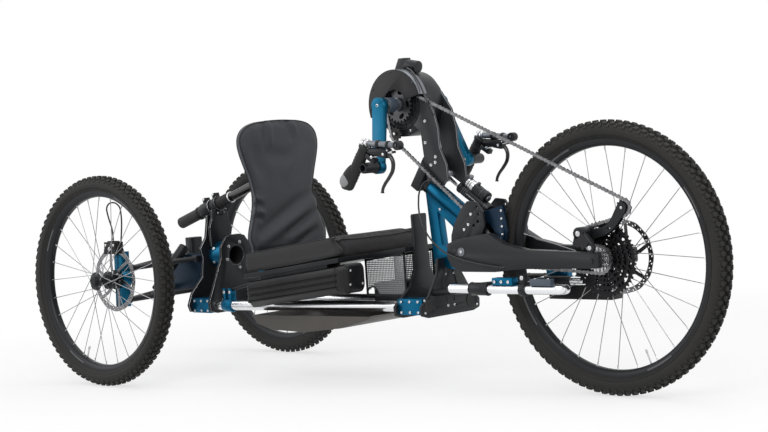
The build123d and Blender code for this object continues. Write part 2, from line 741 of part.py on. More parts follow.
# x, z outlines: the mast's head from the crank's centre and its foot from the steering point, the pivot
# plates from the arm's pivot, the arm's back from that pivot and its front from the axle
mast_head = ((72, -81), (28, -51), (40, 59), (88, 31), (124, -21), (138, -76))
mast_foot = ((2, 163), (24, 113), (26, 73), (0, 45), (-52, 73), (-62, 163))
pivot_outline = ((38, 141), (71, 137), (92, 110), (97, 73), (80, 37), (44, 13), (34, -9), (16, -29),
                 (-16, -29), (-32, -3), (-28, 45), (-16, 75), (12, 117))
arm_bevel = 9.0
arm_top_back = ((-28, -15), (-24, 23), (12, 35), (76, 45), (122, 51), (176, 21))
arm_top_front = ((-224, 30), (22, 22))
arm_low_front = ((22, -20), (-224, -23))
arm_low_back = ((138, -57), (26, -57), (-12, -43))
# the housing's fin from the crank's centre, and the display pod on it
fin_outline = ((-54, 82), (8, 82), (0, 135), (-26, 135))
fin_half = 12.0
pod_ends = ((-2, 113), (40, 105))
pod_radius = 18.0
shock_radius = 21.0
shock_top_offset = (-48.0, 107.0)              # from the steering point
shock_foot_offset = (78.0, 99.0)               # from the arm's pivot


def crown(along_from, along_to, below, above, half):
    points = [on_axis(along_from, below), on_axis(along_to, below), on_axis(along_to, above),
              on_axis(along_from, above)]
    return side_plate(points, -half, half)


def add_steering():
    upper = head_tube_top - crown_gap
    lower = head_tube_bottom + crown_gap
    start, end = on_axis(upper - crown_thickness, 0), on_axis(lower + crown_thickness, 0)
    steerer = rod((start[0], 0, start[1]), (end[0], 0, end[1]), steerer_radius)
    top_crown = crown(upper - crown_thickness, upper, -26, 74, housing_half)
    low_crown = crown(lower, lower + crown_thickness, -28, 30, pivot_plate_inner)
    pieces["steering_crowns"] = steerer + top_crown + low_crown
    housing = disc(*crank_centre, housing_radius, -housing_half, housing_half)
    housing += disc(*crank_centre, housing_radius - 16, housing_half, housing_half + 24)
    spindle_bore = rod((crank_centre[0], -200, crank_centre[1]), (crank_centre[0], 200, crank_centre[1]),
                       spindle_radius + running_gap)
    mast = side_plate(beside(crank_centre, mast_head) + beside(steer_point, mast_foot), housing_half,
                      housing_half + mast_thickness)
    mast -= disc(*crank_centre, housing_radius - 16, 0, 200)
    pieces["mast"] = both_sides(mast)
    fin = side_plate(beside(crank_centre, fin_outline), -fin_half, fin_half)
    fin += rod(*[(x, 0, z) for x, z in beside(crank_centre, pod_ends)], pod_radius)
    pieces["drive_housing"] = housing + fin - spindle_bore
    pieces["chain_guard"] = chain_guard() - pieces["mast"]
    plate = side_plate(beside(pivot_point, pivot_outline), pivot_plate_inner,
                       pivot_plate_inner + pivot_plate_thickness, 4)
    pin = rod((pivot_point[0], -fork_outer, pivot_point[1]), (pivot_point[0], fork_outer, pivot_point[1]),
              pivot_pin_radius)
    pieces["pivot_plates"] = plate + mirror(plate, about=Plane.XZ) + pin
    pieces["swingarm"] = swingarm() - pin
    shock_top = (steer_point[0] + shock_top_offset[0], 0, steer_point[1] + shock_top_offset[1])
    shock_foot = (pivot_point[0] + shock_foot_offset[0], 0, pivot_point[1] + shock_foot_offset[1])
    pieces["front_shock"] = shock_absorber(shock_top, shock_foot, shock_radius) - top_crown
    pieces["shock_yoke"] = shock_yoke(shock_foot) - pieces["front_shock"]
    pieces["chain_idlers"] = group(idler(motor_idler, -housing_half), idler(arm_idler, -fork_inner))
    pieces["derailleur"] = derailleur()
    pieces["front_caliper"] = at_front(caliper(front_rotor_y, 165.0, dropout_inner))
    pieces["chain"] = chain()
    pieces["control_cables"] = control_cables()


cable_radius = 2.5
# on the right side: from the pod over the guard to the mast, from the crank's centre, and then
# from the mast's foot down to the arm, from the steering point
pod_cable_route = ((10, -14, 109), (22, -28, 104), (52, -44, 96), (92, -58, 59), (114, -61, 15),
                   (124, -56, -18), (126, -42, -39))
arm_cable_route = ((-30, -42, 73), (-50, -58, 69), (-68, -66, 39), (-66, -75, -15), (-46, -81, -63),
                   (-12, -87, -101), (34, -94, -130), (90, -97, -149), (150, -98, -162), (206, -97, -170),
                   (242, -96, -174), (258, -88, -175))


def control_cables():
    cables = []
    for name, start, route in (("pod cable", crank_centre, pod_cable_route),
                               ("arm cable", steer_point, arm_cable_route)):
        points = [(start[0] + x, y, start[1] + z) for x, y, z in route]
        tube = cable(name, points, cable_radius)
        for carrier in ("mast", "drive_housing", "swingarm"):
            tube -= pieces[carrier]
        cables.append(tube)
    return group(*cables)


def chain_guard():
    """Half cover over the chainring: a rim on the housing and an outer plate."""
    x, z = crank_centre
    rim_band = disc(x, z, housing_radius + 8, -housing_half - 30, -housing_half, housing_radius + 2)
    cover = disc(x, z, housing_radius + 8, -housing_half - 34, -housing_half - 30, 44)
    keep = Polyline((x, z), (x + 200, z + 52), (x + 200, z + 200), (x - 200, z + 200), (x - 200, z - 70),
                    close=True)
    wedge = Pos(0, -120, 0) * extrude(Plane.XZ * make_face(keep), amount=240, dir=(0, 1, 0))
    foot = disc(x, z, housing_radius + 8, -housing_half - 2, -housing_half, housing_radius - 12)
    return (rim_band + cover + foot) & wedge


def swingarm():
    """Front arm: two legs beside the wheel, joined behind it."""
    low = beside(front_axle, arm_low_front) + beside(pivot_point, arm_low_back)
    top = beside(pivot_point, arm_top_back) + beside(front_axle, arm_top_front)
    left = side_plate(top + low, fork_inner, fork_outer, 8)
    corner = fork_outer + 1
    section = Polyline((corner, -1), (fork_outer - arm_bevel, -1), (corner, arm_bevel), close=True)
    for start, end in zip(low, low[1:]):
        way = Vector(end[0] - start[0], 0, end[1] - start[1])
        run = Plane(origin=(start[0], 0, start[1]), x_dir=(0, 1, 0), z_dir=way)
        left -= extrude(run * make_face(section), amount=way.length)
    clear = disc(*front_axle, max(cog_radii) + 30, 0, dropout_inner)
    corners = beside(pivot_point, ((-74, -35), (106, -35), (106, 165), (-74, 165)))
    plate_room = side_plate(corners, 0, pivot_plate_inner + pivot_plate_thickness + 2)
    left = left - clear - plate_room
    legs = left + mirror(left, about=Plane.XZ)
    bridge_end = tread_x - 14
    bridge = None
    for start, z, width, height in ((14, -46, 2 * fork_outer, 20), (38, -9, 100, 80)):
        start += pivot_point[0]
        block = Pos((start + bridge_end) / 2, 0, pivot_point[1] + z) * Box(bridge_end - start, width, height)
        bridge = bridge + block if bridge else block
    x, z = front_axle
    axle = rod((x, -fork_outer - 4, z), (x, fork_outer + 4, z), axle_radius)
    return legs + bridge + axle


yoke_span = (38.0, 48.0)
# x, z from the arm's pivot
yoke_pin = (140, 35)
yoke_outline = ((68, 85), (94, 113), (150, 125), (160, 55), (152, 27), (128, 27), (116, 55), (102, 75))


def shock_yoke(eye):
    """Link from the front arm's top to the shock, round the tyre."""
    inner, outer = yoke_span
    cheek = side_plate(beside(pivot_point, yoke_outline), inner, outer)
    cheek += disc(*beside(pivot_point, [yoke_pin])[0], 8, inner, fork_inner)
    bridge = Pos(eye[0] + 2, 0, eye[2]) * Box(24, 2 * outer, 24)
    return cheek + mirror(cheek, about=Plane.XZ) + bridge


def derailleur():
    """Rear-style derailleur on the right dropout with its cage and two pulleys."""
    x, z = front_axle
    outer = chain_y - 14
    body = rod((x + 6, -fork_outer - 10, z + 36), (x + 6, -fork_outer, z + 36), 13)
    body += rod((x + 6, -fork_outer - 5, z + 36), (x - 28, -fork_outer - 5, z + 74), 9)
    body += rod((x - 28, -fork_outer - 12, z + 74), (x - 28, outer, z + 74), 14)
    body += rod((x - 28, outer - 4, z + 74), (tension_pulley[0], outer - 4, tension_pulley[1]), 6)
    for pulley in (guide_pulley, tension_pulley):
        px, pz, pitch = pulley
        body += disc(px, pz, pitch - chain_height / 2 - chain_gap, chain_y - 1.5, chain_y + 1.5)
        body += rod((px, outer - 4, pz), (px, chain_y + 3, pz), 4)
    return body


# ---- hand cranks ----
def crank_end(side):
    return (crank_centre[0] + crank_reach, side * (spindle_half - arm_thickness / 2 + arm_splay),
            crank_centre[1] - crank_drop)


def crank_arm():
    """Left arm with the eye on the spindle, the eye at its end and the handle's pin."""
    x, z = crank_centre
    end = crank_end(1)
    inner = spindle_half - arm_thickness
    top = disc(x, z, 23, inner, spindle_half)
    foot = disc(end[0], end[2], 20, end[1] - arm_thickness / 2, end[1] + arm_thickness / 2)
    upper = Pos(x, inner + arm_thickness / 2, z) * Rectangle(40, arm_thickness)
    lower = Pos(*end) * Rectangle(32, arm_thickness)
    web = loft([upper.face(), lower.face()], ruled=True)
    pin = rod((end[0], end[1], end[2]), (end[0], end[1] + handle_reach, end[2]), handle_pin_radius)
    return top + foot + web + pin


handle_pin_radius = 8.0
handle_reach = 38.0
handle_gap = 3.0
handle_y = 250.0


def handle_hub(side_y):
    """Pivot sleeve of the left handle on the crank's pin."""
    end = crank_end(1)
    start = end[1] + arm_thickness / 2 + handle_gap
    return disc(end[0], end[2], 17, start, side_y, handle_pin_radius + running_gap)


def handle_grip():
    """Left grip with its palm rest."""
    end = crank_end(1)
    top = (end[0] + 6, handle_y, end[2] + 66)
    foot = (end[0] - 58, handle_y, end[2] - 62)
    grip = rod(top, foot, 16.5)
    palm_top = (end[0] - 34, handle_y + 2, end[2] + 6)
    palm_foot = (end[0] - 66, handle_y + 2, end[2] - 56)
    return grip + rod(palm_top, palm_foot, 21)


def handle_controls():
    """Left bar end, brake lever and its body."""
    end = crank_end(1)
    bar = rod((end[0] + 2, handle_y, end[2] + 70), (end[0] + 138, handle_y, end[2] + 58), 9)
    body = Pos(end[0] + 66, handle_y, end[2] + 41) * Box(90, 22, 34)
    body += rod((end[0] + 96, handle_y, end[2] + 36), (end[0] + 110, handle_y, end[2] - 6), 7)
    body += rod((end[0] + 110, handle_y, end[2] - 6), (end[0] + 62, handle_y, end[2] - 64), 6)
    return bar + body


def add_cranks():
    x, z = crank_centre
    inner = spindle_half - arm_thickness
    arm = crank_arm()
    spindle = rod((x, -inner, z), (x, inner, z), spindle_radius)
    ring = disc(x, z, ring_radius - chain_height / 2 - chain_gap, chain_y - 1.5, chain_y + 1.5)
    pieces["crank_spindle"] = spindle + ring
    pieces["crank_arms"] = both_sides(arm - spindle)
    grip = handle_grip()
    controls = handle_controls() - grip
    pieces["left_grip"] = grip + handle_hub(handle_y)
    pieces["left_controls"] = controls
    for name in ("grip", "controls"):
        pieces[f"right_{name}"] = mirror(pieces[f"left_{name}"], about=Plane.XZ)


add_wheels()
pieces["cassette"] = at_front(cassette())
add_frame()
add_back_end()
add_seat()
add_battery()
add_footrests()
add_steering()
add_cranks()

for name, shape in pieces.items():
    solids = [Pos(-x_centre, 0, 0) * solid for solid in shape.solids()]
    export_step(solids[0] if len(solids) == 1 else Compound(solids), f"parts/{name}.step")
    print(name, len(solids), round(sum(solid.volume for solid in solids)))
print("wheel centre height at the back", round(rear_axle_z, 2), "middle", x_centre)
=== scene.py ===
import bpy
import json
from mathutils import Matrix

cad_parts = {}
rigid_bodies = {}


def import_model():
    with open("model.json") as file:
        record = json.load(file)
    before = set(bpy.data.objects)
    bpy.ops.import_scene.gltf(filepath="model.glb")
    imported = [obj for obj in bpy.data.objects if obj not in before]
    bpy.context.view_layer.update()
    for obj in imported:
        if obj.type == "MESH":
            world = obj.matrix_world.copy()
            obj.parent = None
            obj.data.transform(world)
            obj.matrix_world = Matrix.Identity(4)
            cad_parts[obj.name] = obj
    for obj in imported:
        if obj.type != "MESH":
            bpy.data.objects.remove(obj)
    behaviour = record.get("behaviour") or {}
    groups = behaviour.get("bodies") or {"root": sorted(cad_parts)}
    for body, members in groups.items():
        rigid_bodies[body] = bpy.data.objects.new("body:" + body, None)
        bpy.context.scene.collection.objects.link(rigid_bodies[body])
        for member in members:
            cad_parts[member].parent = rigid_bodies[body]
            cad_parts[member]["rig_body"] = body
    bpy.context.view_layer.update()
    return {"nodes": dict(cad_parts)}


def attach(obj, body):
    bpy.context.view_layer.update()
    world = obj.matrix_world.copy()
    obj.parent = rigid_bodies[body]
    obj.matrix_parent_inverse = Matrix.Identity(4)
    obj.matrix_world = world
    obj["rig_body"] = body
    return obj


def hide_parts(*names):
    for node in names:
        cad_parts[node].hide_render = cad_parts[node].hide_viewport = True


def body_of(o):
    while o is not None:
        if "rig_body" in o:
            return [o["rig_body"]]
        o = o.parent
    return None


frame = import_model()

import json
from math import asin, atan2, cos, exp, pi, radians, sin, sqrt

import bmesh
from mathutils.bvhtree import BVHTree
import bpy
from mathutils import Matrix, Vector

scene = bpy.context.scene

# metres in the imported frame: X forward, Y to the rider's left, Z up; sizes here repeat the part's own values
trike = {
    "middle": 0.8685,             # from the back axle to the frame's origin
    "wheelbase": 1.700,
    "track": 0.775,
    "camber": radians(2.0),
    "frontRadius": 0.370,
    "rearRadius": 0.333,
    "groove": 0.002,              # half the bare strip between the tyres' rows of lugs
    "crank": (1.012, 0.821),
    "chainY": -0.052,
}
trike["rearAxleZ"] = trike["rearRadius"] * cos(trike["camber"]) + trike["groove"] * sin(trike["camber"])


def at(x, y, z):                  # a point given from the back axle, as the part's source gives it
    return Vector((x - trike["middle"], y, z))


toLeft, toRight, toFront, toBack = (0, 1, 0), (0, -1, 0), (1, 0, 0), (-1, 0, 0)
axle = ((0, 0, 0), toLeft)        # where a wheel's parts are turned, before they go to their place


def linked(name, data):           # a new object in the scene
    made = bpy.data.objects.new(name, data)
    scene.collection.objects.link(made)
    return made


class Sock:
    # wraps a socket so that maths on it adds Math nodes
    def __init__(self, tree, socket):
        self.tree, self.socket = tree, socket

    def maths(self, operation, *values):
        return self.tree.add("ShaderNodeMath", {"operation": operation}, dict(enumerate(values)))[0]

    def most(self, other):
        return self.maths("MAXIMUM", self, other)

    def least(self, other):
        return self.maths("MINIMUM", self, other)

    def __add__(self, other):
        return self.maths("ADD", self, other)

    def __radd__(self, other):
        return self.maths("ADD", other, self)

    def __sub__(self, other):
        return self.maths("SUBTRACT", self, other)

    def __rsub__(self, other):
        return self.maths("SUBTRACT", other, self)

    def __mul__(self, other):
        return self.maths("MULTIPLY", self, other)

    def __rmul__(self, other):
        return self.maths("MULTIPLY", other, self)

    def __truediv__(self, other):
        return self.maths("DIVIDE", self, other)


class Added:
    def __init__(self, tree, node):
        self.tree, self.node = tree, node

    def __getitem__(self, key):
        return Sock(self.tree, self.node.outputs[key])


class NodeTree:
    def __init__(self, tree):
        self.nodes, self.links = tree.nodes, tree.links

    def add(self, kind, settings=None, inputs=None):
        node = self.nodes.new(kind)
        for key, value in (settings or {}).items():
            setattr(node, key, value)
        for key, value in (inputs or {}).items():
            self.feed(node.inputs[key], value)
        return Added(self, node)

    def feed(self, socket, value):
        if isinstance(value, Sock):
            self.links.new(value.socket, socket)
        else:
            socket.default_value = value


class Shader(NodeTree):
    def __init__(self, name):
        self.material = bpy.data.materials.new(name)
        self.material.use_nodes = True
        super().__init__(self.material.node_tree)
        self.surface = self.nodes["Principled BSDF"]
        self.place = self.add("ShaderNodeTexCoord")["Object"]

    def mix(self, factor, first, second):
        mixed = self.add("ShaderNodeMix", {"data_type": "RGBA"}, {0: factor})
        self.feed(mixed.node.inputs[6], first)
        self.feed(mixed.node.inputs[7], second)
        return mixed[2]

    def noise(self, scale, detail=3.0, roughness=0.5, place=None):
        return self.add("ShaderNodeTexNoise", None, {"Vector": place or self.place, "Scale": scale,
                                                     "Detail": detail, "Roughness": roughness})[0]

    def stretched(self, scale, detail=2.0, stretch=(1, 1, 1)):
        mapped = self.add("ShaderNodeMapping", None, {"Vector": self.place, "Scale": stretch})[0]
        return self.noise(scale, detail, place=mapped)

    def bump(self, height, strength, distance):
        return self.add("ShaderNodeBump", None, {"Height": height, "Strength": strength,
                                                 "Distance": distance})[0]

    def finish(self, values):
        for key, value in values.items():
            self.feed(self.surface.inputs[key], value)
        return self.material


empty = linked("rowHolder", bpy.data.meshes.new("rowHolder"))


class Shapes(NodeTree):
    # a Geometry Nodes tree whose named inputs are set on each modifier that uses it
    kinds = {float: "NodeSocketFloat", int: "NodeSocketInt", tuple: "NodeSocketVector",
             "object": "NodeSocketObject", "material": "NodeSocketMaterial"}

    def __init__(self, name, inputs):
        self.group = bpy.data.node_groups.new(name, "GeometryNodeTree")
        super().__init__(self.group)
        self.group.interface.new_socket("Geometry", in_out="INPUT", socket_type="NodeSocketGeometry")
        self.group.interface.new_socket("Geometry", in_out="OUTPUT", socket_type="NodeSocketGeometry")
        self.keys = {}
        for key, value in {**inputs, "Material": "material"}.items():
            made = self.group.interface.new_socket(key, in_out="INPUT", socket_type=self.kinds[value])
            self.keys[key] = made.identifier
        self.given = self.add("NodeGroupInput")

    def shape(self, key):
        return self.add("GeometryNodeObjectInfo", None, {"Object": self.given[key]})["Geometry"]

    def copies(self, points, key, inputs):
        return self.add("GeometryNodeInstanceOnPoints", None,
                        {"Points": points, "Instance": self.shape(key), **inputs})[0]

    def end(self, geometry):
        real = self.add("GeometryNodeRealizeInstances", None, {0: geometry})
        painted = self.add("GeometryNodeSetMaterial", None,
                           {"Geometry": real[0], "Material": self.given["Material"]})
        self.add("NodeGroupOutput", None, {0: painted[0]})
        return self

    def mesh(self, look, values):
        modifier = empty.modifiers.new("shapes", "NODES")
        modifier.node_group = self.group
        for key, value in {**values, "Material": finishes[look]}.items():
            modifier[self.keys[key]] = value
        made = baked(empty)
        empty.modifiers.remove(modifier)
        return made


def rgb(red, green, blue):
    return (red, green, blue, 1)


def metalFinish(name, dark, light, metal, rough, own):
    # a machined or anodised metal: fine grain in the bump, a slow drift in colour and gloss
    look = {**usualMetal, **own}
    shader = Shader(name)
    drift = shader.noise(look["drift"], 4)
    grain = shader.stretched(look["grain"], 2, look["stretch"])
    colour = shader.mix(drift, rgb(*dark), rgb(*light))
    shader.surface.inputs["Specular IOR Level"].default_value = look["shine"]
    return shader.finish({
        "Base Color": colour, "Metallic": metal,
        "Roughness": rough + (grain - 0.5) * look["roughDrift"],
        "Normal": shader.bump(grain, look["bump"], 0.0002),
    })


usualMetal = dict(shine=0.5, drift=10, grain=900, stretch=(1, 1, 1), roughDrift=0.12, bump=0.08)
metalLooks = {                    # dark and light colour, metal, roughness, and what is not as usual
    "blueAnodised": ((0.001, 0.07, 0.15), (0.002, 0.15, 0.285), 0.75, 0.3,
                     dict(shine=0.3, drift=9, bump=0.12)),
    "deepBlue": ((0.001, 0.06, 0.12), (0.001, 0.125, 0.225), 0.7, 0.32, dict(shine=0.3, drift=9, bump=0.12)),
    "nightBlue": ((0.004, 0.012, 0.024), (0.006, 0.028, 0.062), 0.5, 0.36,
                  dict(shine=0.3, drift=9, bump=0.12)),
    "blackAnodised": ((0.009, 0.01, 0.012), (0.018, 0.019, 0.022), 0.3, 0.38,
                      dict(shine=0.3, drift=7, grain=1100, roughDrift=0.14, bump=0.1)),
    "charcoalPaint": ((0.012, 0.013, 0.015), (0.021, 0.022, 0.024), 0.2, 0.4,
                      dict(shine=0.3, drift=5, grain=700, roughDrift=0.1)),
    "mastPaint": ((0.022, 0.024, 0.027), (0.036, 0.039, 0.043), 0.3, 0.4,
                  dict(shine=0.4, drift=5, grain=700, roughDrift=0.1)),
    "brightEdge": ((0.42, 0.43, 0.45), (0.62, 0.63, 0.65), 1.0, 0.28, dict(drift=20, roughDrift=0.1)),
    "silverTube": ((0.72, 0.73, 0.75), (0.9, 0.91, 0.93), 1.0, 0.22,
                   dict(drift=14, grain=160, stretch=(1, 14, 14), roughDrift=0.1, bump=0.05)),
    "darkSteel": ((0.05, 0.05, 0.055), (0.12, 0.12, 0.13), 0.9, 0.36,
                  dict(drift=40, grain=500, roughDrift=0.2, bump=0.12)),
    "brightSteel": ((0.45, 0.45, 0.46), (0.68, 0.68, 0.69), 1.0, 0.25,
                    dict(drift=40, grain=500, roughDrift=0.15, bump=0.06)),
    "greyMetal": ((0.12, 0.13, 0.145), (0.22, 0.235, 0.255), 0.8, 0.38, dict(drift=12, grain=700, bump=0.1)),
    "blackGloss": ((0.008, 0.008, 0.009), (0.016, 0.016, 0.018), 0.1, 0.22,
                   dict(grain=500, roughDrift=0.08, bump=0.04)),
    "spokeSteel": ((0.2, 0.2, 0.21), (0.34, 0.34, 0.35), 1.0, 0.3,
                   dict(drift=30, grain=500, roughDrift=0.1, bump=0.03)),
    "rotorSteel": ((0.15, 0.15, 0.155), (0.3, 0.3, 0.31), 1.0, 0.3,
                   dict(drift=60, grain=300, roughDrift=0.2, bump=0.05)),
    "chainSteel": ((0.09, 0.09, 0.095), (0.34, 0.34, 0.35), 1.0, 0.32, dict(drift=120, roughDrift=0.2)),
    "cogBlack": ((0.006, 0.006, 0.007), (0.016, 0.016, 0.018), 0.6, 0.3,
                 dict(shine=0.3, drift=50, grain=700, roughDrift=0.2, bump=0.06)),
    "rimStripe": ((0.055, 0.055, 0.057), (0.075, 0.075, 0.078), 0.0, 0.4,
                  dict(drift=30, roughDrift=0.1, bump=0.03)),
}
finishes = {name: metalFinish(name, *look) for name, look in metalLooks.items()}


def mouldedFinish(name, dark, light, rough, grainScale, bump, shine=0.5):
    shader = Shader(name)
    shader.surface.inputs["Specular IOR Level"].default_value = shine
    grain = shader.noise(grainScale, 3, 0.6)
    drift = shader.noise(8, 3)
    return shader.finish({
        "Base Color": shader.mix(drift, rgb(*dark), rgb(*light)),
        "Roughness": rough + (grain - 0.5) * 0.2,
        "Normal": shader.bump(grain, bump, 0.0004),
    })


mouldedLooks = {                  # dark and light colour, roughness, grain size, bump and, where set, shine
    "batteryCase": ((0.007, 0.007, 0.008), (0.012, 0.012, 0.013), 0.36, 1400, 0.12, 0.22),
    "pierced": ((0.16, 0.165, 0.17), (0.24, 0.245, 0.25), 0.45, 700, 0.1),
    "slatePaint": ((0.045, 0.062, 0.085), (0.060, 0.080, 0.105), 0.42, 900, 0.1),
    "blackPlastic": ((0.008, 0.008, 0.009), (0.016, 0.016, 0.018), 0.44, 1600, 0.25, 0.25),
    "panGrey": ((0.050, 0.045, 0.041), (0.088, 0.080, 0.073), 0.46, 300, 0.15, 0.35),
    "tyreRubber": ((0.007, 0.0066, 0.0062), (0.017, 0.0155, 0.0145), 0.62, 900, 0.35, 0.3),
    "gripRubber": ((0.008, 0.008, 0.009), (0.017, 0.017, 0.018), 0.58, 1200, 0.4, 0.3),
    "palmGrey": ((0.20, 0.205, 0.21), (0.28, 0.285, 0.29), 0.55, 900, 0.3),
}
finishes.update({name: mouldedFinish(name, *look) for name, look in mouldedLooks.items()})


def wovenFinish(name, look):
    # plain weave: two crossed waves make the threads, noise makes them uneven
    shader = Shader(name)
    warp, weft = (shader.add("ShaderNodeTexWave", {"wave_type": "BANDS", "bands_direction": way},
                             {"Vector": shader.place, "Scale": look["threads"], "Distortion": 0.4,
                              "Detail": 1.0})[1] for way in "YZ")
    weave = warp * weft
    rub = shader.noise(6, 4, 0.6)
    fuzz = shader.noise(700, 2)
    colour = shader.mix(rub * 0.7 + fuzz * 0.3, rgb(*look["dark"]), rgb(*look["light"]))
    shader.surface.inputs["Sheen Weight"].default_value = look["sheen"]
    shader.surface.inputs["Sheen Roughness"].default_value = 0.5
    return shader.finish({"Base Color": colour, "Roughness": look["rough"] - weave * 0.12,
                          "Normal": shader.bump(weave + fuzz * 0.4, look["bump"], 0.0004)})


wovenLooks = {
    "slateFabric": dict(threads=420, dark=(0.008, 0.010, 0.014), light=(0.017, 0.021, 0.028), sheen=0.06,
                        rough=0.66, bump=0.45),
    "hemFabric": dict(threads=420, dark=(0.045, 0.052, 0.062), light=(0.066, 0.075, 0.088), sheen=0.12,
                      rough=0.86, bump=0.4),
    "seatFabric": dict(threads=520, dark=(0.006, 0.006, 0.007), light=(0.013, 0.013, 0.015), sheen=0.08,
                       rough=0.86, bump=0.40),
}
finishes.update({name: wovenFinish(name, look) for name, look in wovenLooks.items()})
print("finishes made:", len(finishes))

# camera, floor and light
view = {
    "eye": at(4.5221, -3.8505, 0.7483), "yaw": 2.3289, "pitch": -0.0478, "roll": -0.0657,
    "focalPixels": 1779.49, "imageWidth": 768, "sensor": 36.0,
}


def placeCamera():
    cy, sy, cp, sp = cos(view["yaw"]), sin(view["yaw"]), cos(view["pitch"]), sin(view["pitch"])
    ahead = Vector((cy * cp, sy * cp, sp))
    level = ahead.cross(Vector((0, 0, 1))).normalized()
    over = level.cross(ahead)
    right = level * cos(view["roll"]) + over * sin(view["roll"])
    up = over * cos(view["roll"]) - level * sin(view["roll"])
    data = bpy.data.cameras.new("camera")
    data.sensor_width = view["sensor"]
    data.sensor_fit = "HORIZONTAL"
    data.lens = view["focalPixels"] * view["sensor"] / view["imageWidth"]
    data.clip_end = 60
    camera = linked("camera", data)
    turn = Matrix((right, up, -ahead)).transposed()
    camera.matrix_world = Matrix.Translation(view["eye"]) @ turn.to_4x4()
    scene.camera = camera


studio = {
    "floorDark": (0.84, 0.84, 0.84), "floorLight": (0.87, 0.87, 0.87), "floorReach": 40,
    "lamps": (   # name, place, size, power, aim
        ("keyLamp", (2.2, -3.6, 3.4), 2.6, 95, (0, 0, 0.4)),
        ("fillLamp", (-3.4, -2.6, 2.4), 3.0, 40, (0, 0, 0.4)),
        ("frontLamp", (4.4, 1.8, 2.2), 2.6, 40, (0.4, 0, 0.4)),
        ("topLamp", (0.2, 0.4, 4.2), 3.4, 60, (0, 0, 0)),
    ),
    "worldLight": 0.55,
}


def setStudio():
    floorShader = Shader("paleFloor")
    rays = floorShader.add("ShaderNodeLightPath")
    seen = rays["Is Camera Ray"].most(rays["Is Glossy Ray"])
    far = floorShader.add("ShaderNodeVectorMath", {"operation": "LENGTH"}, {0: floorShader.place})[1]
    fade = ((far - 1.5) * 0.9).most(0.0).least(1.0)
    grain = floorShader.noise(30, 2)
    floorShader.finish({
        "Base Color": floorShader.mix(grain, rgb(*studio["floorDark"]), rgb(*studio["floorLight"])),
        "Roughness": 0.9})
    floorShader.surface.inputs["Specular IOR Level"].default_value = 0.1
    glow = floorShader.add("ShaderNodeEmission", None, {"Strength": 1.0})
    blend = floorShader.add("ShaderNodeMixShader", None, {0: seen * (fade * 0.33 + 0.67)})
    floorShader.links.new(floorShader.surface.outputs[0], blend.node.inputs[1])
    floorShader.links.new(glow.node.outputs[0], blend.node.inputs[2])
    floorShader.links.new(blend.node.outputs[0], floorShader.nodes["Material Output"].inputs[0])
    floor = bpy.data.meshes.new("floor")
    reach = studio["floorReach"]
    floor.from_pydata([(-reach, -reach, 0), (reach, -reach, 0), (reach, reach, 0), (-reach, reach, 0)], [],
                      [(0, 1, 2, 3)])
    floor.materials.append(floorShader.material)
    linked("floor", floor)
    world = bpy.data.worlds.new("studio")
    scene.world = world
    world.use_nodes = True
    sky = NodeTree(world.node_tree)
    paths = sky.add("ShaderNodeLightPath")
    seenAround = paths["Is Camera Ray"].most(paths["Is Glossy Ray"])
    strength = sky.add("ShaderNodeMix", None, {0: seenAround, 2: studio["worldLight"], 3: 1.0})[0]
    back = sky.nodes["Background"]
    back.inputs[0].default_value = (1, 1, 1, 1)
    sky.feed(back.inputs[1], strength)
    for name, place, size, power, aim in studio["lamps"]:
        lamp = bpy.data.lights.new(name, "AREA")
        lamp.size = size
        lamp.energy = power
        holder = linked(name, lamp)
        holder.location = place
        holder.rotation_euler = (Vector(aim) - Vector(place)).to_track_quat("-Z", "Y").to_euler()
    scene.view_settings.view_transform = "Standard"


placeCamera()
setStudio()
print("camera, floor and lamps set")

def baked(holder):                # the holder's mesh with its modifiers worked in
    bpy.context.view_layer.update()
    graph = bpy.context.evaluated_depsgraph_get()
    return bpy.data.meshes.new_from_object(holder.evaluated_get(graph))


def turnTo(direction, up=Vector((0, 0, 1))):   # turn whose Z axis is the direction and whose Y leans to up
    z = Vector(direction).normalized()
    x = up.cross(z)
    if x.length < 0.01:
        x = Vector(toLeft).cross(z)
    x.normalize()
    return Matrix((x, z.cross(x), z)).transposed()


meeting = 0.00002                 # points nearer to each other than this are one


def faceOutwards(made, merge=0.0):
    work = bmesh.new()
    work.from_mesh(made)
    if merge:
        bmesh.ops.remove_doubles(work, verts=work.verts, dist=merge)
    bmesh.ops.recalc_face_normals(work, faces=work.faces)
    work.to_mesh(made)
    work.free()


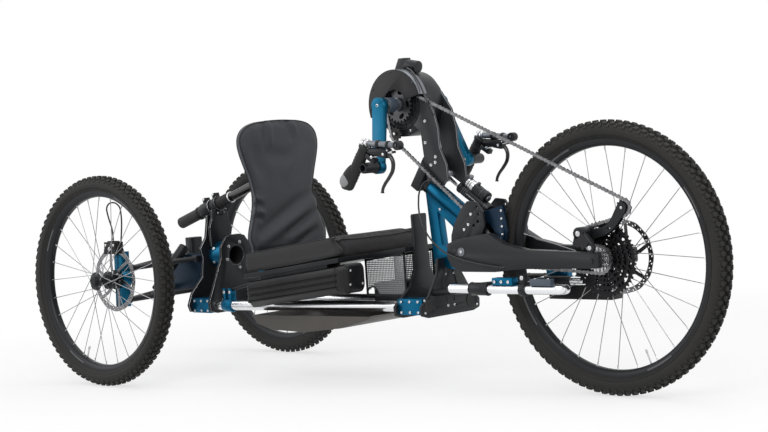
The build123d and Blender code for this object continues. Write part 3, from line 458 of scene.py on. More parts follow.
class Build:
    # gathers points and faces, each face marked with the number of its finish, into one mesh
    def __init__(self):
        self.points, self.faces, self.marks = [], [], []

    def add(self, points, faces, mark=0):
        first = len(self.points)
        self.points += [Vector(point) for point in points]
        self.faces += [[first + corner for corner in face] for face in faces]
        self.marks += [mark] * len(faces)

    def skin(self, rings, mark=0, loop=False, caps=True):
        # rings of equal length joined one to the next, open at the ends unless they have caps
        count, size = len(rings), len(rings[0])
        faces = []
        for ring in range(count if loop else count - 1):
            here, there = ring * size, (ring + 1) % count * size
            faces += [(here + k, here + (k + 1) % size, there + (k + 1) % size, there + k)
                      for k in range(size)]
        if caps and not loop:
            faces += [tuple(reversed(range(size))), tuple(range((count - 1) * size, count * size))]
        self.add([point for ring in rings for point in ring], faces, mark)

    def lathe(self, profile, origin, direction, steps=48, mark=0, loop=False):
        # profile of (radius, distance along the direction)
        turn = turnTo(direction)
        origin = Vector(origin)
        rings = [[origin + turn @ Vector((radius * cos(2 * pi * k / steps),
                                          radius * sin(2 * pi * k / steps), along))
                  for k in range(steps)] for radius, along in profile]
        self.skin(rings, mark, loop)

    def bar(self, start, end, radius, steps=20, mark=0, soft=0.0):
        start, end = Vector(start), Vector(end)
        run = (end - start).length
        soft = min(soft, radius * 0.9, run / 2)
        profile = [(radius, 0), (radius, run)]
        if soft:
            profile = [(radius - soft, 0), (radius - soft * 0.3, soft * 0.3), (radius, soft),
                       (radius, run - soft), (radius - soft * 0.3, run - soft * 0.3), (radius - soft, run)]
        self.lathe(profile, start, end - start, steps, mark)

    def across(self, centre, right, left, radius, steps=20, mark=0, soft=0.0):
        # bar from side to side through the centre, with its reach to each side
        self.bar(centre - Vector((0, right, 0)), centre + Vector((0, left, 0)), radius, steps, mark, soft)

    def block(self, centre, size, turn=None, mark=0):
        turn = turn or Matrix.Identity(3)
        corners = [(-1, -1, -1), (1, -1, -1), (1, 1, -1), (-1, 1, -1), (-1, -1, 1),
                   (1, -1, 1), (1, 1, 1), (-1, 1, 1)]
        points = [Vector(centre) + turn @ Vector([sign * side / 2 for sign, side in zip(corner, size)])
                  for corner in corners]
        self.add(points,
                 [(0, 3, 2, 1), (4, 5, 6, 7), (0, 1, 5, 4), (1, 2, 6, 5), (2, 3, 7, 6), (3, 0, 4, 7)], mark)

    def tube(self, places, radius, steps=12, mark=0, loop=False, squeeze=1.0):
        # round tube along given places, its section turned as little as it can be
        places = [Vector(place) for place in places]
        count = len(places)
        rings, side = [], None
        for index, place in enumerate(places):
            before = places[index - 1] if index or loop else place
            after = places[(index + 1) % count] if index < count - 1 or loop else place
            ahead = (after - before).normalized()
            if side is None:
                side = ahead.orthogonal().normalized()
            side = (side - ahead * side.dot(ahead)).normalized()
            other = ahead.cross(side)
            width = radius(index / (count - 1)) if callable(radius) else radius
            rings.append([place + (side * cos(2 * pi * k / steps)
                                   + other * sin(2 * pi * k / steps) * squeeze) * width
                          for k in range(steps)])
        self.skin(rings, mark, loop)

    def take(self, mesh, mark=None):
        self.add([vertex.co for vertex in mesh.vertices], [list(face.vertices) for face in mesh.polygons])
        if mark is None:
            self.marks[-len(mesh.polygons):] = [face.material_index for face in mesh.polygons]
        else:
            self.marks[-len(mesh.polygons):] = [mark] * len(mesh.polygons)

    def move(self, matrix):
        self.points = [matrix @ point for point in self.points]

    def mesh(self, name, looks):
        made = bpy.data.meshes.new(name)
        made.from_pydata(self.points, [], self.faces)
        for look in looks:
            made.materials.append(finishes[look])
        made.polygons.foreach_set("material_index", self.marks)
        return made

    def piece(self, name, body, looks, nodes=(), bevel=0.0, sharp=30, merge=False):
        made = self.mesh(name, looks)
        if merge:
            faceOutwards(made, meeting)
        return settled(name, made, body, nodes, bevel, sharp)


def settled(name, made, body, nodes=(), bevel=0.0, sharp=35, edgeMark=-1):
    # a finished mesh becomes a piece that rides on its body and may stand for solids
    if bevel:
        holder = linked("holder", made)
        cut = holder.modifiers.new("bevel", "BEVEL")
        cut.width, cut.segments, cut.limit_method = bevel, 2, "ANGLE"
        cut.angle_limit, cut.material, cut.use_clamp_overlap = radians(32), edgeMark, True
        made = baked(holder)
        bpy.data.objects.remove(holder)
    made.name = name
    made.shade_smooth()
    made.set_sharp_from_angle(angle=radians(sharp))
    piece = linked(name, made)
    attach(piece, body)
    if nodes:
        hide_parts(*nodes)
    return piece


def bodyOf(node):
    return body_of(frame["nodes"][node])[0]


def drilled(made, holes):         # round holes, each (start, end, radius), cut out of a mesh
    cutter = Build()
    for start, end, radius in holes:
        cutter.bar(start, end, radius, 20)
    drill = linked("drill", cutter.mesh("drill", []))
    holder = linked("holder", made)
    cut = holder.modifiers.new("cut", "BOOLEAN")
    cut.operation, cut.solver, cut.object = "DIFFERENCE", "EXACT", drill
    made = baked(holder)
    bpy.data.objects.remove(holder)
    bpy.data.objects.remove(drill)
    return made


def machined(node, looks, bevel, edgeMark=-1, pick=None, holes=()):
    # copy of a solid's own mesh, its triangles merged into flat faces and its edges eased
    work = bmesh.new()
    work.from_mesh(frame["nodes"][node].data)
    bmesh.ops.remove_doubles(work, verts=work.verts, dist=meeting)
    bmesh.ops.dissolve_limit(work, angle_limit=radians(0.8), verts=work.verts, edges=work.edges)
    for face in work.faces:
        face.material_index = pick(face.calc_center_median(), face.normal) if pick else 0
    made = bpy.data.meshes.new(node)
    for look in looks:
        made.materials.append(finishes[look])
    work.to_mesh(made)
    work.free()
    if holes:
        made = drilled(made, holes)
    return settled(node + "Shaped", made, bodyOf(node), (node,), bevel, edgeMark=edgeMark)


def byHeight(limit):              # chooser: first finish above a height and second below it
    return lambda place, normal: 0 if place.z > limit else 1


def cutPlate(outlines, thickness, bevel):
    # flat plate in its own X and Y: the first outline is its edge and the others are its holes
    data = bpy.data.curves.new("plate", "CURVE")
    data.dimensions, data.fill_mode, data.extrude = "2D", "BOTH", thickness / 2 - bevel
    data.bevel_depth, data.bevel_resolution = bevel, 1
    data.offset = -bevel
    for points in outlines:
        spline = data.splines.new("POLY")
        spline.points.add(len(points) - 1)
        for point, (x, y) in zip(spline.points, points):
            point.co = (x, y, 0, 1)
        spline.use_cyclic_u = True
    holder = linked("plate", data)
    made = baked(holder)
    bpy.data.objects.remove(holder)
    return made


def collar(inner, outer, half, ease, rise):   # profile of a ring with eased outer corners
    return [(inner, -half), (outer - ease, -half), (outer, rise - half), (outer, half - rise),
            (outer - ease, half), (inner, half)]


def circle(x, y, radius, steps=24, stretch=1.0, turn=0.0):
    points = [(radius * stretch * cos(2 * pi * k / steps), radius * sin(2 * pi * k / steps))
              for k in range(steps)]
    return [(x + px * cos(turn) - py * sin(turn), y + px * sin(turn) + py * cos(turn)) for px, py in points]


# rows of a shape round a wheel's axle, for lugs, nipples, teeth and bolts
wheelRow = Shapes("wheelRow", {"Shape": "object", "Count": int, "Radius": float, "Along": float,
                               "Start": float, "Tilt": float, "Size": tuple})


def fillWheelRow():
    tree, given = wheelRow, wheelRow.given
    points = tree.add("GeometryNodePoints", None, {"Count": given["Count"]})
    index = tree.add("GeometryNodeInputIndex")[0]
    turn = index * (2 * pi) / given["Count"] + given["Start"]
    place = tree.add("ShaderNodeCombineXYZ", None, {0: turn.maths("COSINE", turn) * given["Radius"],
                                                    1: given["Along"],
                                                    2: turn.maths("SINE", turn) * given["Radius"]})[0]
    moved = tree.add("GeometryNodeSetPosition", None, {"Geometry": points[0], "Position": place})
    lean = tree.add("ShaderNodeCombineXYZ", None, {0: given["Tilt"]})[0]
    outwards = tree.add("ShaderNodeCombineXYZ", None, {1: turn * -1 + pi / 2})[0]
    turned = tree.add("FunctionNodeRotateEuler", {"rotation_type": "EULER", "space": "LOCAL"},
                      {"Rotation": outwards, "Rotate By": lean})[0]
    tree.end(tree.copies(moved[0], "Shape", {"Rotation": turned, "Scale": given["Size"]}))


fillWheelRow()


def shapeHolder(build, name):     # a shape that Geometry Nodes repeat, which is no piece itself
    return bpy.data.objects.new(name, build.mesh(name, []))


def placeHolder(places):          # points that Geometry Nodes put a shape on
    spots = bpy.data.meshes.new("spots")
    spots.from_pydata(places, [], [])
    return bpy.data.objects.new("spots", spots)


def wheelPlace(side):             # turn and middle of a wheel: 0 is the front one, 1 the left, -1 the right
    if side == 0:
        return Matrix.Translation(at(trike["wheelbase"], 0, trike["frontRadius"]))
    lean = Matrix.Rotation(trike["camber"] * side, 4, "X")
    flip = Matrix.Identity(4) if side > 0 else Matrix.Rotation(pi, 4, "Z")
    return Matrix.Translation(at(0, side * trike["track"] / 2, trike["rearAxleZ"])) @ lean @ flip


wheelNames = {0: "front", 1: "left", -1: "right"}


def wheelPiece(build, side, part, looks, place=Matrix.Identity(4), **more):
    name = wheelNames[side]
    build.move(wheelPlace(side) @ place)
    build.piece(name + part, name + "_wheel", looks, (name + "_" + part.lower(),), **more)


def wheelSize(side):              # outer radius of a wheel and height of its tyre
    kind = 1 if side else 0
    return (trike["frontRadius"], trike["rearRadius"])[kind], tyreSizes["height"][kind]


# tyres
tyreSizes = {
    "height": (0.052, 0.049),      # front and rear, from the rim's bed to the lugs' tips
    "halfWidth": 0.0285,
    "lug": (0.0152, 0.0100, 0.0100),  # round the tyre, across it and out
    "rows": ((0.0062, 0.0, 4, 0.5), (0.0185, 0.0052, 24, 0.0), (0.0222, 0.0118, 48, 0.5)),
    "pitch": 0.0262,               # between one lug and the next in a row
    "bead": 0.012, "ribs": (0.20, 0.24), "rib": 0.0012,
}


def lugShape():
    shape = Build()
    rings = []
    for share, grow in ((0.0, 1.06), (0.88, 0.96), (1.0, 0.84)):
        rings.append([(sx * grow / 2, sy * grow / 2, share - 0.45) for sx, sy in
                      ((-1, -0.55), (-0.6, -1), (0.6, -1), (1, -0.55), (1, 0.55), (0.6, 1), (-0.6, 1),
                       (-1, 0.55))])
    shape.skin(rings)
    return shapeHolder(shape, "lug")


def tyreSection(outer, height):
    # from one bead over the tread to the other: (radius, distance out)
    half = tyreSizes["halfWidth"]
    side = ((1.0, 0.54), (0.97, 0.62), (0.90, 0.74), (0.80, 0.90), (0.66, 0.985), (0.52, 1.0), (0.38, 0.965),
            (0.29, 0.88), (0.220, 0.72), (0.182, 0.50), (0.170, 0.25))
    points = [(outer - height * drop, half * out) for drop, out in side]
    crown = (outer - height * 0.168, 0.0)
    return points + [crown] + [(radius, -out) for radius, out in reversed(points)]


def makeTyre(side):
    outer, height = wheelSize(side)
    tyre = Build()
    profile = tyreSection(outer, height)
    bed = outer - height
    profile += [(bed, -tyreSizes["bead"]), (bed, tyreSizes["bead"])]
    tyre.lathe(profile, *axle, 144, 0, loop=True)
    lug = lugShape()
    count = round(2 * pi * outer / tyreSizes["pitch"])
    length, width, tall = tyreSizes["lug"]
    for out, drop, tilt, phase in tyreSizes["rows"]:
        for hand in (1, -1):
            stagger = phase if hand > 0 else phase + 0.5
            tyre.take(wheelRow.mesh("tyreRubber", {
                "Shape": lug, "Count": count, "Radius": outer - drop - tall * 0.58, "Along": hand * out,
                "Start": (stagger * 2 * pi) / count, "Tilt": -hand * radians(tilt),
                "Size": (length * (0.78 if tilt > 40 else 1.0), width * (1.15 if tilt > 20 else 1.0), tall),
            }), 0)
    for hand in (1, -1):           # raised ribs low on each sidewall
        wide, rib = hand * tyreSizes["halfWidth"], tyreSizes["rib"]
        for radius in (bed + height * share for share in tyreSizes["ribs"]):
            profile = [(radius - rib, wide * 0.80), (radius, wide * 0.93), (radius + rib, wide * 0.82)]
            tyre.lathe(profile, *axle, 144, 0, loop=True)
    wheelPiece(tyre, side, "Tyre", ["tyreRubber"], sharp=40, merge=True)


for side in (0, 1, -1):
    makeTyre(side)
print("tyres made")


# rims, hubs and spokes
wheelParts = {
    "spokes": 28, "spokeRadius": 0.00115, "nippleLength": 0.013,
    "flangeRadius": 0.029, "barrelRadius": 0.0155,
    "rimHalf": 0.0175, "rimDepth": 0.018, "stripes": 4,
}


def rimSection(bore):
    half, depth = wheelParts["rimHalf"], wheelParts["rimDepth"]
    side = ((0.0, 0.30), (0.04, 0.46), (0.16, 0.66), (0.42, 0.86), (0.80, 0.985), (1.10, 1.0), (1.24, 0.985),
            (1.27, 0.93), (1.22, 0.88), (1.02, 0.86), (0.99, 0.70))
    points = [(bore + depth * rise, half * out) for rise, out in side]
    return points + [(radius, -out) for radius, out in reversed(points)]


def makeRim(side):
    outer, height = wheelSize(side)
    bore = outer - height - wheelParts["rimDepth"]
    rim = Build()
    rim.lathe(rimSection(bore), *axle, 168, 0, loop=True)
    half, depth = wheelParts["rimHalf"], wheelParts["rimDepth"]
    for stripe in range(wheelParts["stripes"]):       # pale stripes on the rim's outer flank
        start = 2 * pi * stripe / wheelParts["stripes"] + 0.35
        for hand in (1, -1):
            rings = []
            for step in range(15):
                turn = start + 0.020 * step
                rings.append([(cos(turn) * (bore + depth * rise), hand * half * out,
                               sin(turn) * (bore + depth * rise))
                              for rise, out in ((0.62, 0.953), (0.86, 1.004), (0.86, 0.96), (0.62, 0.91))])
            rim.skin(rings, 1)
    valve = Vector((cos(-1.2), 0, sin(-1.2)))
    rim.bar(valve * (bore - 0.034), valve * (bore + 0.002), 0.0026, 10, 2, 0.0008)
    rim.bar(valve * (bore - 0.040), valve * (bore - 0.030), 0.0036, 10, 2, 0.0010)
    nipple = Build()
    nipple.lathe([(0.0016, -0.5), (0.0019, -0.2), (0.0022, 0.30), (0.0028, 0.42), (0.0028, 0.5)], (0, 0, 0),
                 (0, 0, 1), 8)
    rim.take(wheelRow.mesh("brightSteel", {
        "Shape": shapeHolder(nipple, "nipple"), "Count": wheelParts["spokes"],
        "Radius": bore - wheelParts["nippleLength"] * 0.42, "Along": 0.0, "Start": 0.0, "Tilt": 0.0,
        "Size": (1.0, 1.0, wheelParts["nippleLength"])}), 2)
    wheelPiece(rim, side, "Rim", ["blackAnodised", "rimStripe", "brightSteel"], merge=True)


hubSizes = {
    0: dict(ends=(-0.028, 0.062), flanges=(-0.020, 0.030), axle=0.0076),
    1: dict(ends=(-0.056, 0.034), flanges=(-0.022, 0.026), axle=0.0086),
}
hubSizes[-1] = hubSizes[1]


def makeHub(side):
    sizes = hubSizes[side]
    inner, outer = sizes["flanges"]
    low, high = sizes["ends"]
    flange, barrel = wheelParts["flangeRadius"], wheelParts["barrelRadius"]
    hub = Build()
    profile = [(sizes["axle"], low), (barrel, low), (barrel, inner - 0.004), (flange - 0.002, inner - 0.002),
               (flange, inner - 0.001), (flange, inner + 0.001), (flange - 0.002, inner + 0.002),
               (barrel + 0.003, inner + 0.005), (barrel - 0.002, (inner + outer) / 2),
               (barrel + 0.003, outer - 0.005),
               (flange - 0.002, outer - 0.002), (flange, outer - 0.001), (flange, outer + 0.001),
               (flange - 0.002, outer + 0.002), (barrel, outer + 0.004), (barrel, high - 0.001),
               (barrel - 0.001, high), (sizes["axle"], high)]
    if side:
        profile = profile[:-1] + [(barrel - 0.002, high + 0.0055), (barrel - 0.006, high + 0.0062),
                                  (barrel - 0.007, high + 0.005), (0.0005, high + 0.005),
                                  (0.0005, high - 0.001), (sizes["axle"], high - 0.0015)]
    hub.lathe(profile, *axle, 48, 0, loop=True)
    bore = (trike["frontRadius"] - 0.070) if side == 0 else (trike["rearRadius"] - 0.067)
    foot = flange - 0.003
    for index in range(wheelParts["spokes"]):
        turn = 2 * pi * index / wheelParts["spokes"]
        lead = turn + (0.9 if index % 4 < 2 else -0.9)
        along = sizes["flanges"][index % 2] + (0.0022 if index % 4 < 2 else -0.0022)
        start = Vector((foot * cos(lead), along, foot * sin(lead)))
        end = Vector((bore * cos(turn), 0, bore * sin(turn)))
        hub.bar(start, end, wheelParts["spokeRadius"], 6, 1)
        hub.across(start, 0.0022, 0.0022, 0.0021, 8, 1)
    wheelPiece(hub, side, "Hub", ["blackAnodised", "spokeSteel"])


# brake discs
rotorSizes = {
    "radius": 0.1015, "band": 0.0155, "arms": 6, "thickness": 0.0020, "carrier": 0.031, "bore": 0.0171,
    "slots": 30, "along": {0: 0.050, 1: -0.0495, -1: -0.0495},
    "waves": 12, "waveDepth": 0.0016, "bolts": 6, "boltCircle": 0.0235,
}


def flatPlate(outlines, thickness, bevel):
    # cutPlate stood up: its X stays and its Y becomes Z
    plate = cutPlate(outlines, thickness, bevel)
    plate.transform(Matrix.Rotation(pi / 2, 4, "X"))
    return plate


def makeRotor(side):
    radius, band, arms = rotorSizes["radius"], rotorSizes["band"], rotorSizes["arms"]
    inner, hub = radius - band, rotorSizes["carrier"]
    edge = []
    for step in range(240):         # wavy outer edge
        turn = 2 * pi * step / 240
        reach = radius - rotorSizes["waveDepth"] * (1 - cos(rotorSizes["waves"] * turn)) / 2
        edge.append((reach * cos(turn), reach * sin(turn)))
    outlines = [edge, circle(0, 0, inner, 72)]
    for slot in range(rotorSizes["slots"]):
        turn = 2 * pi * slot / rotorSizes["slots"]
        for out, shift in ((-0.0056, 0.0), (-0.0108, 0.065)):
            place = radius + out
            outlines.append(circle(place * cos(turn + shift), place * sin(turn + shift), 0.0019, 10, 1.55,
                                   turn + shift + 0.9))
    rotor = Build()
    rotor.take(flatPlate(outlines, rotorSizes["thickness"], 0.0002), 0)
    for arm in range(arms):         # slanted arms from the carrier to the band
        turn = 2 * pi * arm / arms
        foot, middle, end = hub - 0.003, (hub + inner) / 2, inner + 0.0008
        outline = [(reach * cos(turn + swing), reach * sin(turn + swing)) for reach, swing in
                   ((foot, -0.16), (middle, 0.13), (end, 0.28), (end, 0.40), (middle, 0.32), (foot, 0.20))]
        rotor.take(flatPlate([outline], rotorSizes["thickness"] * 0.96, 0.0002), 0)
    carrier = [circle(0, 0, hub, 48), circle(0, 0, rotorSizes["bore"], 40)]
    rotor.take(flatPlate(carrier, rotorSizes["thickness"] * 1.5, 0.0003), 2)
    for bolt in range(rotorSizes["bolts"]):
        turn = 2 * pi * bolt / rotorSizes["bolts"] + 0.2
        place = Vector((rotorSizes["boltCircle"] * cos(turn), 0, rotorSizes["boltCircle"] * sin(turn)))
        rotor.across(place, 0.0028, 0.0028, 0.0042, 14, 1, 0.0008)
    wheelPiece(rotor, side, "Rotor", ["rotorSteel", "brightSteel", "blackAnodised"],
               Matrix.Translation((0, rotorSizes["along"][side], 0)))


caliperSizes = {"radius": 0.1015, "y": -0.0495, "half": 0.0098, "thick": 0.0145, "length": 0.054,
                "tall": 0.038}


def makeRearCalipers():           # two halves across the disc's edge, with caps, bridge, foot and bolts
    both = Build()
    for side in (1, -1):
        one, size = Build(), caliperSizes
        y, z = size["y"], size["radius"]
        for hand in (1, -1):
            one.block((0, y + hand * size["half"], z), (size["length"], size["thick"], size["tall"]), None, 0)
            one.bar((0, y + hand * 0.012, z - 0.003), (0, y + hand * 0.0178, z - 0.003), 0.0125, 32, 1, 0.001)
            one.bar((0, y + hand * 0.016, z - 0.003), (0, y + hand * 0.0186, z - 0.003), 0.0075, 6, 2, 0.0006)
            for x in (-0.020, 0.020):
                one.bar((x, y + hand * 0.015, z + 0.009),
                        (x, y + hand * 0.0185, z + 0.009), 0.0046, 20, 2, 0.0008)
                one.block((x * 1.22, y + hand * 0.0118, z - 0.011), (0.010, 0.011, 0.014), None, 1)
        one.block((0, y, z + 0.0145), (0.046, 0.016, 0.011), None, 1)
        for x in (-0.013, 0.0, 0.013):
            one.block((x, y, z + 0.0205), (0.0040, 0.024, 0.0036), None, 1)
        one.bar((0, y - 0.0235, z + 0.012), (0, y - 0.0235, z + 0.021), 0.0052, 20, 2, 0.0008)
        one.block((0, (y - 0.0705) / 2 - 0.006, z - 0.006), (0.030, 0.014, 0.028), None, 0)
        one.block((0, -0.0700, z - 0.006), (0.030, 0.012, 0.030), None, 0)
        one.move(wheelPlace(side))
        both.take(one.mesh("caliper", []))
    both.piece("rearCalipersShaped", "frame", ["blackPlastic", "blackAnodised", "brightSteel"],
               ("rear_calipers",), bevel=0.0022, sharp=32)


for side in (0, 1, -1):
    makeRim(side)
    makeHub(side)
    makeRotor(side)
makeRearCalipers()
print("rims, hubs and brake discs made")

# cassette and chain
drive = {
    "cogs": (0.100, 0.084, 0.069, 0.056, 0.045, 0.036, 0.030, 0.025, 0.021), "cogPitch": 0.0044,
    "cogThickness": 0.0018, "firstCog": 0.030, "onCog": 5, "toothPitch": 0.0127, "linkHeight": 0.0100,
    "ring": 0.050, "motorIdler": (-0.016, -0.084, 0.020), "armIdler": (-0.255, 0.007, 0.026),
    "guide": (-0.032, 0.066, 0.021), "tension": (0.085, 0.138, 0.021),
}


def toothedEdge(radius, teeth, depth):
    # root and tip of each tooth with its sloped flanks
    points = []
    for tooth in range(teeth):
        for share, reach in ((-0.32, -depth * 0.5), (-0.12, depth * 0.42), (0.12, depth * 0.42),
                             (0.32, -depth * 0.5), (0.5, -depth * 0.62)):
            turn = 2 * pi * (tooth + share) / teeth
            points.append(((radius + reach) * cos(turn), (radius + reach) * sin(turn)))
    return points


def toothedPlate(radius, thickness, bore, windows=(), depth=0.0062):
    teeth = round(2 * pi * radius / drive["toothPitch"])
    outlines = [toothedEdge(radius, teeth, depth), circle(0, 0, bore, 36)]
    for count, reach, size, stretch in windows:
        for window in range(count):
            turn = 2 * pi * window / count
            outlines.append(circle(reach * cos(turn), reach * sin(turn), size, 14, stretch,
                                   turn + pi / 2 + 0.25))
    return flatPlate(outlines, thickness, 0.0002)


def makeCassette():
    cogs = Build()
    for index, radius in enumerate(drive["cogs"]):
        windows = ()
        if radius > 0.045:
            windows = ((10, radius * 0.79, radius * 0.082, 1.9), (10, radius * 0.57, radius * 0.090, 1.25))
        bore = radius * (0.44 if radius > 0.05 else 0.55) if index < 4 else radius - 0.011
        plate = toothedPlate(radius, drive["cogThickness"], bore, windows)
        plate.transform(Matrix.Translation((0, -(drive["firstCog"] + index * drive["cogPitch"]), 0)))
        cogs.take(plate, 0 if index < 5 else 1)
    outer = drive["firstCog"] + (len(drive["cogs"]) - 1) * drive["cogPitch"]
    cogs.lathe([(0.0076, -0.028), (0.017, -0.028), (0.017, -outer - 0.0008), (0.0150, -outer - 0.0016),
                (0.0118, -outer - 0.0012), (0.0110, -outer + 0.004), (0.0076, -outer + 0.004)],
               *axle, 40, 1, loop=True)
    for arm in range(7):            # spider behind the large cogs
        turn = 2 * pi * arm / 7
        middle = Vector((cos(turn) * 0.034, -0.0335, sin(turn) * 0.034))
        cogs.block(middle, (0.042, 0.0070, 0.0085), Matrix.Rotation(-turn, 3, "Y"), 0)
    cogs.move(wheelPlace(0))
    cogs.piece("cassetteCogs", "front_wheel", ["cogBlack", "brightSteel"], ("cassette",), sharp=25)


def tangentRun(first, second):
    # straight run from one pulley to the next: each is (x, z, radius, sense), sense 1 for clockwise
    (x1, z1, r1, s1), (x2, z2, r2, s2) = first, second
    gap = sqrt((x2 - x1) ** 2 + (z2 - z1) ** 2)
    turn = atan2(z2 - z1, x2 - x1) - asin((s1 * r1 - s2 * r2) / gap)
    left = (-sin(turn), cos(turn))
    return ((x1 + s1 * r1 * left[0], z1 + s1 * r1 * left[1]),
            (x2 + s2 * r2 * left[0], z2 + s2 * r2 * left[1]))


def chainPath():
    crankX, crankZ = trike["crank"]
    axleX, axleZ = trike["wheelbase"], trike["frontRadius"]
    pulleys = [(crankX, crankZ, drive["ring"], 1)]
    for key, sense in (("tension", 1), ("guide", -1)):
        x, z, radius = drive[key]
        pulleys.append((axleX + x, axleZ + z, radius, sense))
    pulleys.append((axleX, axleZ, drive["cogs"][drive["onCog"]], 1))
    for key, (originX, originZ) in (("armIdler", (axleX, axleZ)), ("motorIdler", (crankX, crankZ))):
        x, z, radius = drive[key]
        pulleys.append((originX + x, originZ + z, radius, 1))
    count = len(pulleys)
    runs = [tangentRun(pulleys[i], pulleys[(i + 1) % count]) for i in range(count)]
    path = []
    for index, (x, z, radius, sense) in enumerate(pulleys):
        arrive, leave = runs[index - 1][1], runs[index][0]
        start = atan2(arrive[1] - z, arrive[0] - x)
        swing = atan2(leave[1] - z, leave[0] - x) - start
        while swing * sense > 0:
            swing -= sense * 2 * pi
        while swing * sense < -2 * pi:
            swing += sense * 2 * pi
        steps = max(4, int(abs(swing) * radius / 0.003))
        path += [at(x + radius * cos(start + swing * k / steps), trike["chainY"],
                    z + radius * sin(start + swing * k / steps)) for k in range(steps + 1)]
    return path


chainRow = Shapes("chainRow", {"Path": "object", "Outer Link": "object", "Inner Link": "object",
                               "Count": int})


def fillChainRow():
    tree, given = chainRow, chainRow.given
    points = tree.add("GeometryNodeCurveToPoints", {"mode": "COUNT"},
                      {"Curve": tree.shape("Path"), "Count": given["Count"]})
    index = tree.add("GeometryNodeInputIndex")[0]
    odd = index.maths("MODULO", index, 2.0)
    turned = tree.add("FunctionNodeAlignRotationToVector", {"axis": "X", "pivot_axis": "Y"},
                      {"Vector": points["Tangent"]})[0]
    both = tree.add("GeometryNodeJoinGeometry")
    for key, picked in (("Outer Link", odd), ("Inner Link", 1 - odd)):
        copies = tree.copies(points["Points"], key, {"Selection": picked, "Rotation": turned})
        tree.links.new(copies.socket, both.node.inputs[0])
    tree.end(both[0])


fillChainRow()


def linkShape(name, half, thick, plate):
    # two waisted side plates one pitch long, and the roller or pin at one end
    shape = Build()
    pitch, tall = drive["toothPitch"], drive["linkHeight"] * plate
    outline = []
    for end, sign in ((pitch / 2, 1), (-pitch / 2, -1)):
        for k in range(-3, 4):
            turn = k * pi / 6.6
            outline.append((end + sign * tall / 2 * cos(turn), sign * tall / 2 * sin(turn)))
        outline.append((0, sign * tall * 0.34))
    for hand in (1, -1):
        rings = [[(x, hand * y, z) for x, z in outline] for y in (half, half + thick)]
        shape.skin(rings if hand > 0 else [ring[::-1] for ring in rings])
    for end in (-pitch / 2, pitch / 2):
        reach = half + thick + 0.0004 if plate > 0.95 else half
        shape.bar((end, -reach, 0), (end, reach, 0), 0.0017 if plate > 0.95 else 0.0037, 8)
    return shapeHolder(shape, name)


def makeChain():
    path = chainPath()
    data = bpy.data.curves.new("chainPath", "CURVE")
    data.dimensions = "3D"
    spline = data.splines.new("POLY")
    spline.points.add(len(path) - 1)
    for point, place in zip(spline.points, path):
        point.co = (*place, 1)
    spline.use_cyclic_u = True
    holder = bpy.data.objects.new("chainPath", data)
    length = sum((second - first).length for first, second in zip(path, path[1:] + path[:1]))
    count = 2 * round(length / drive["toothPitch"] / 2)
    chain = Build()
    chain.take(chainRow.mesh("chainSteel", {
        "Path": holder, "Outer Link": linkShape("outerLink", 0.0022, 0.0009, 1.0), "Count": count,
        "Inner Link": linkShape("innerLink", 0.0012, 0.0009, 0.92)}), 0)
    chain.piece("chainLinks", "steering", ["chainSteel"], ("chain",))


makeCassette()
makeChain()
print("cassette and chain made")

# soft goods
def between(p0, p1, p2, p3, steps):   # smooth steps from the second point to the third
    shares = [step / steps for step in range(steps)]
    return [0.5 * (2 * p1 + (p2 - p0) * t + (2 * p0 - 5 * p1 + 4 * p2 - p3) * t * t
                   + (3 * p1 - p0 - 3 * p2 + p3) * t * t * t) for t in shares]


def smoothLoop(points, steps=6):  # closed curve through the points
    points = [Vector(point) for point in points]
    made = []
    for index in range(len(points)):
        made += between(*(points[(index + k - 1) % len(points)] for k in range(4)), steps)
    return made


def smoothRun(points, steps):     # open curve through the points
    points = [Vector(point) for point in points]
    ends = [2 * points[0] - points[1]] + points + [2 * points[-1] - points[-2]]
    made = []
    for index in range(len(points) - 1):
        made += between(*ends[index:index + 4], steps)
    return made + [points[-1]]


def drawnIn(loop, inset):         # the loop moved inwards by the inset
    count, made = len(loop), []
    for index, point in enumerate(loop):
        ahead = (loop[(index + 1) % count] - loop[index - 1]).normalized()
        made.append(point + Vector((-ahead.y, ahead.x)) * inset)
    return made


def padShape(loop, layers, place):
    # closed slab: one ring of the loop for each (depth, inset) layer, set in place
    slab = Build()
    slab.skin([[place @ Vector((point.x, point.y, depth)) for point in drawnIn(loop, inset)]
               for depth, inset in layers])
    return slab


swelling = {"pressure": 4.0, "frames": 20, "stiffness": 20, "bending": 0.6}


def swell(name, slab, voxel, cap):
    # cloth under pressure from inside, with each point's way capped
    made = slab.mesh(name, [])
    faceOutwards(made)
    holder = linked(name, made)
    remesh = holder.modifiers.new("remesh", "REMESH")
    remesh.mode, remesh.voxel_size = "VOXEL", voxel
    made = baked(holder)
    holder.modifiers.clear()
    holder.data = made
    cloth = holder.modifiers.new("cloth", "CLOTH")
    cloth.settings.use_pressure = True
    cloth.settings.uniform_pressure_force = swelling["pressure"]
    cloth.settings.effector_weights.gravity = 0
    cloth.settings.quality = 5
    cloth.settings.tension_stiffness = cloth.settings.compression_stiffness = swelling["stiffness"]
    cloth.settings.bending_stiffness = swelling["bending"]
    for step in range(1, swelling["frames"] + 1):
        scene.frame_set(step)
    swollen = baked(holder)
    holder.modifiers.clear()
    scene.frame_set(1)
    for vertex, moved in zip(made.vertices, swollen.vertices):
        way = moved.co - vertex.co
        vertex.co += way if way.length < cap else way * (cap / way.length)
    bpy.data.objects.remove(holder)
    return made


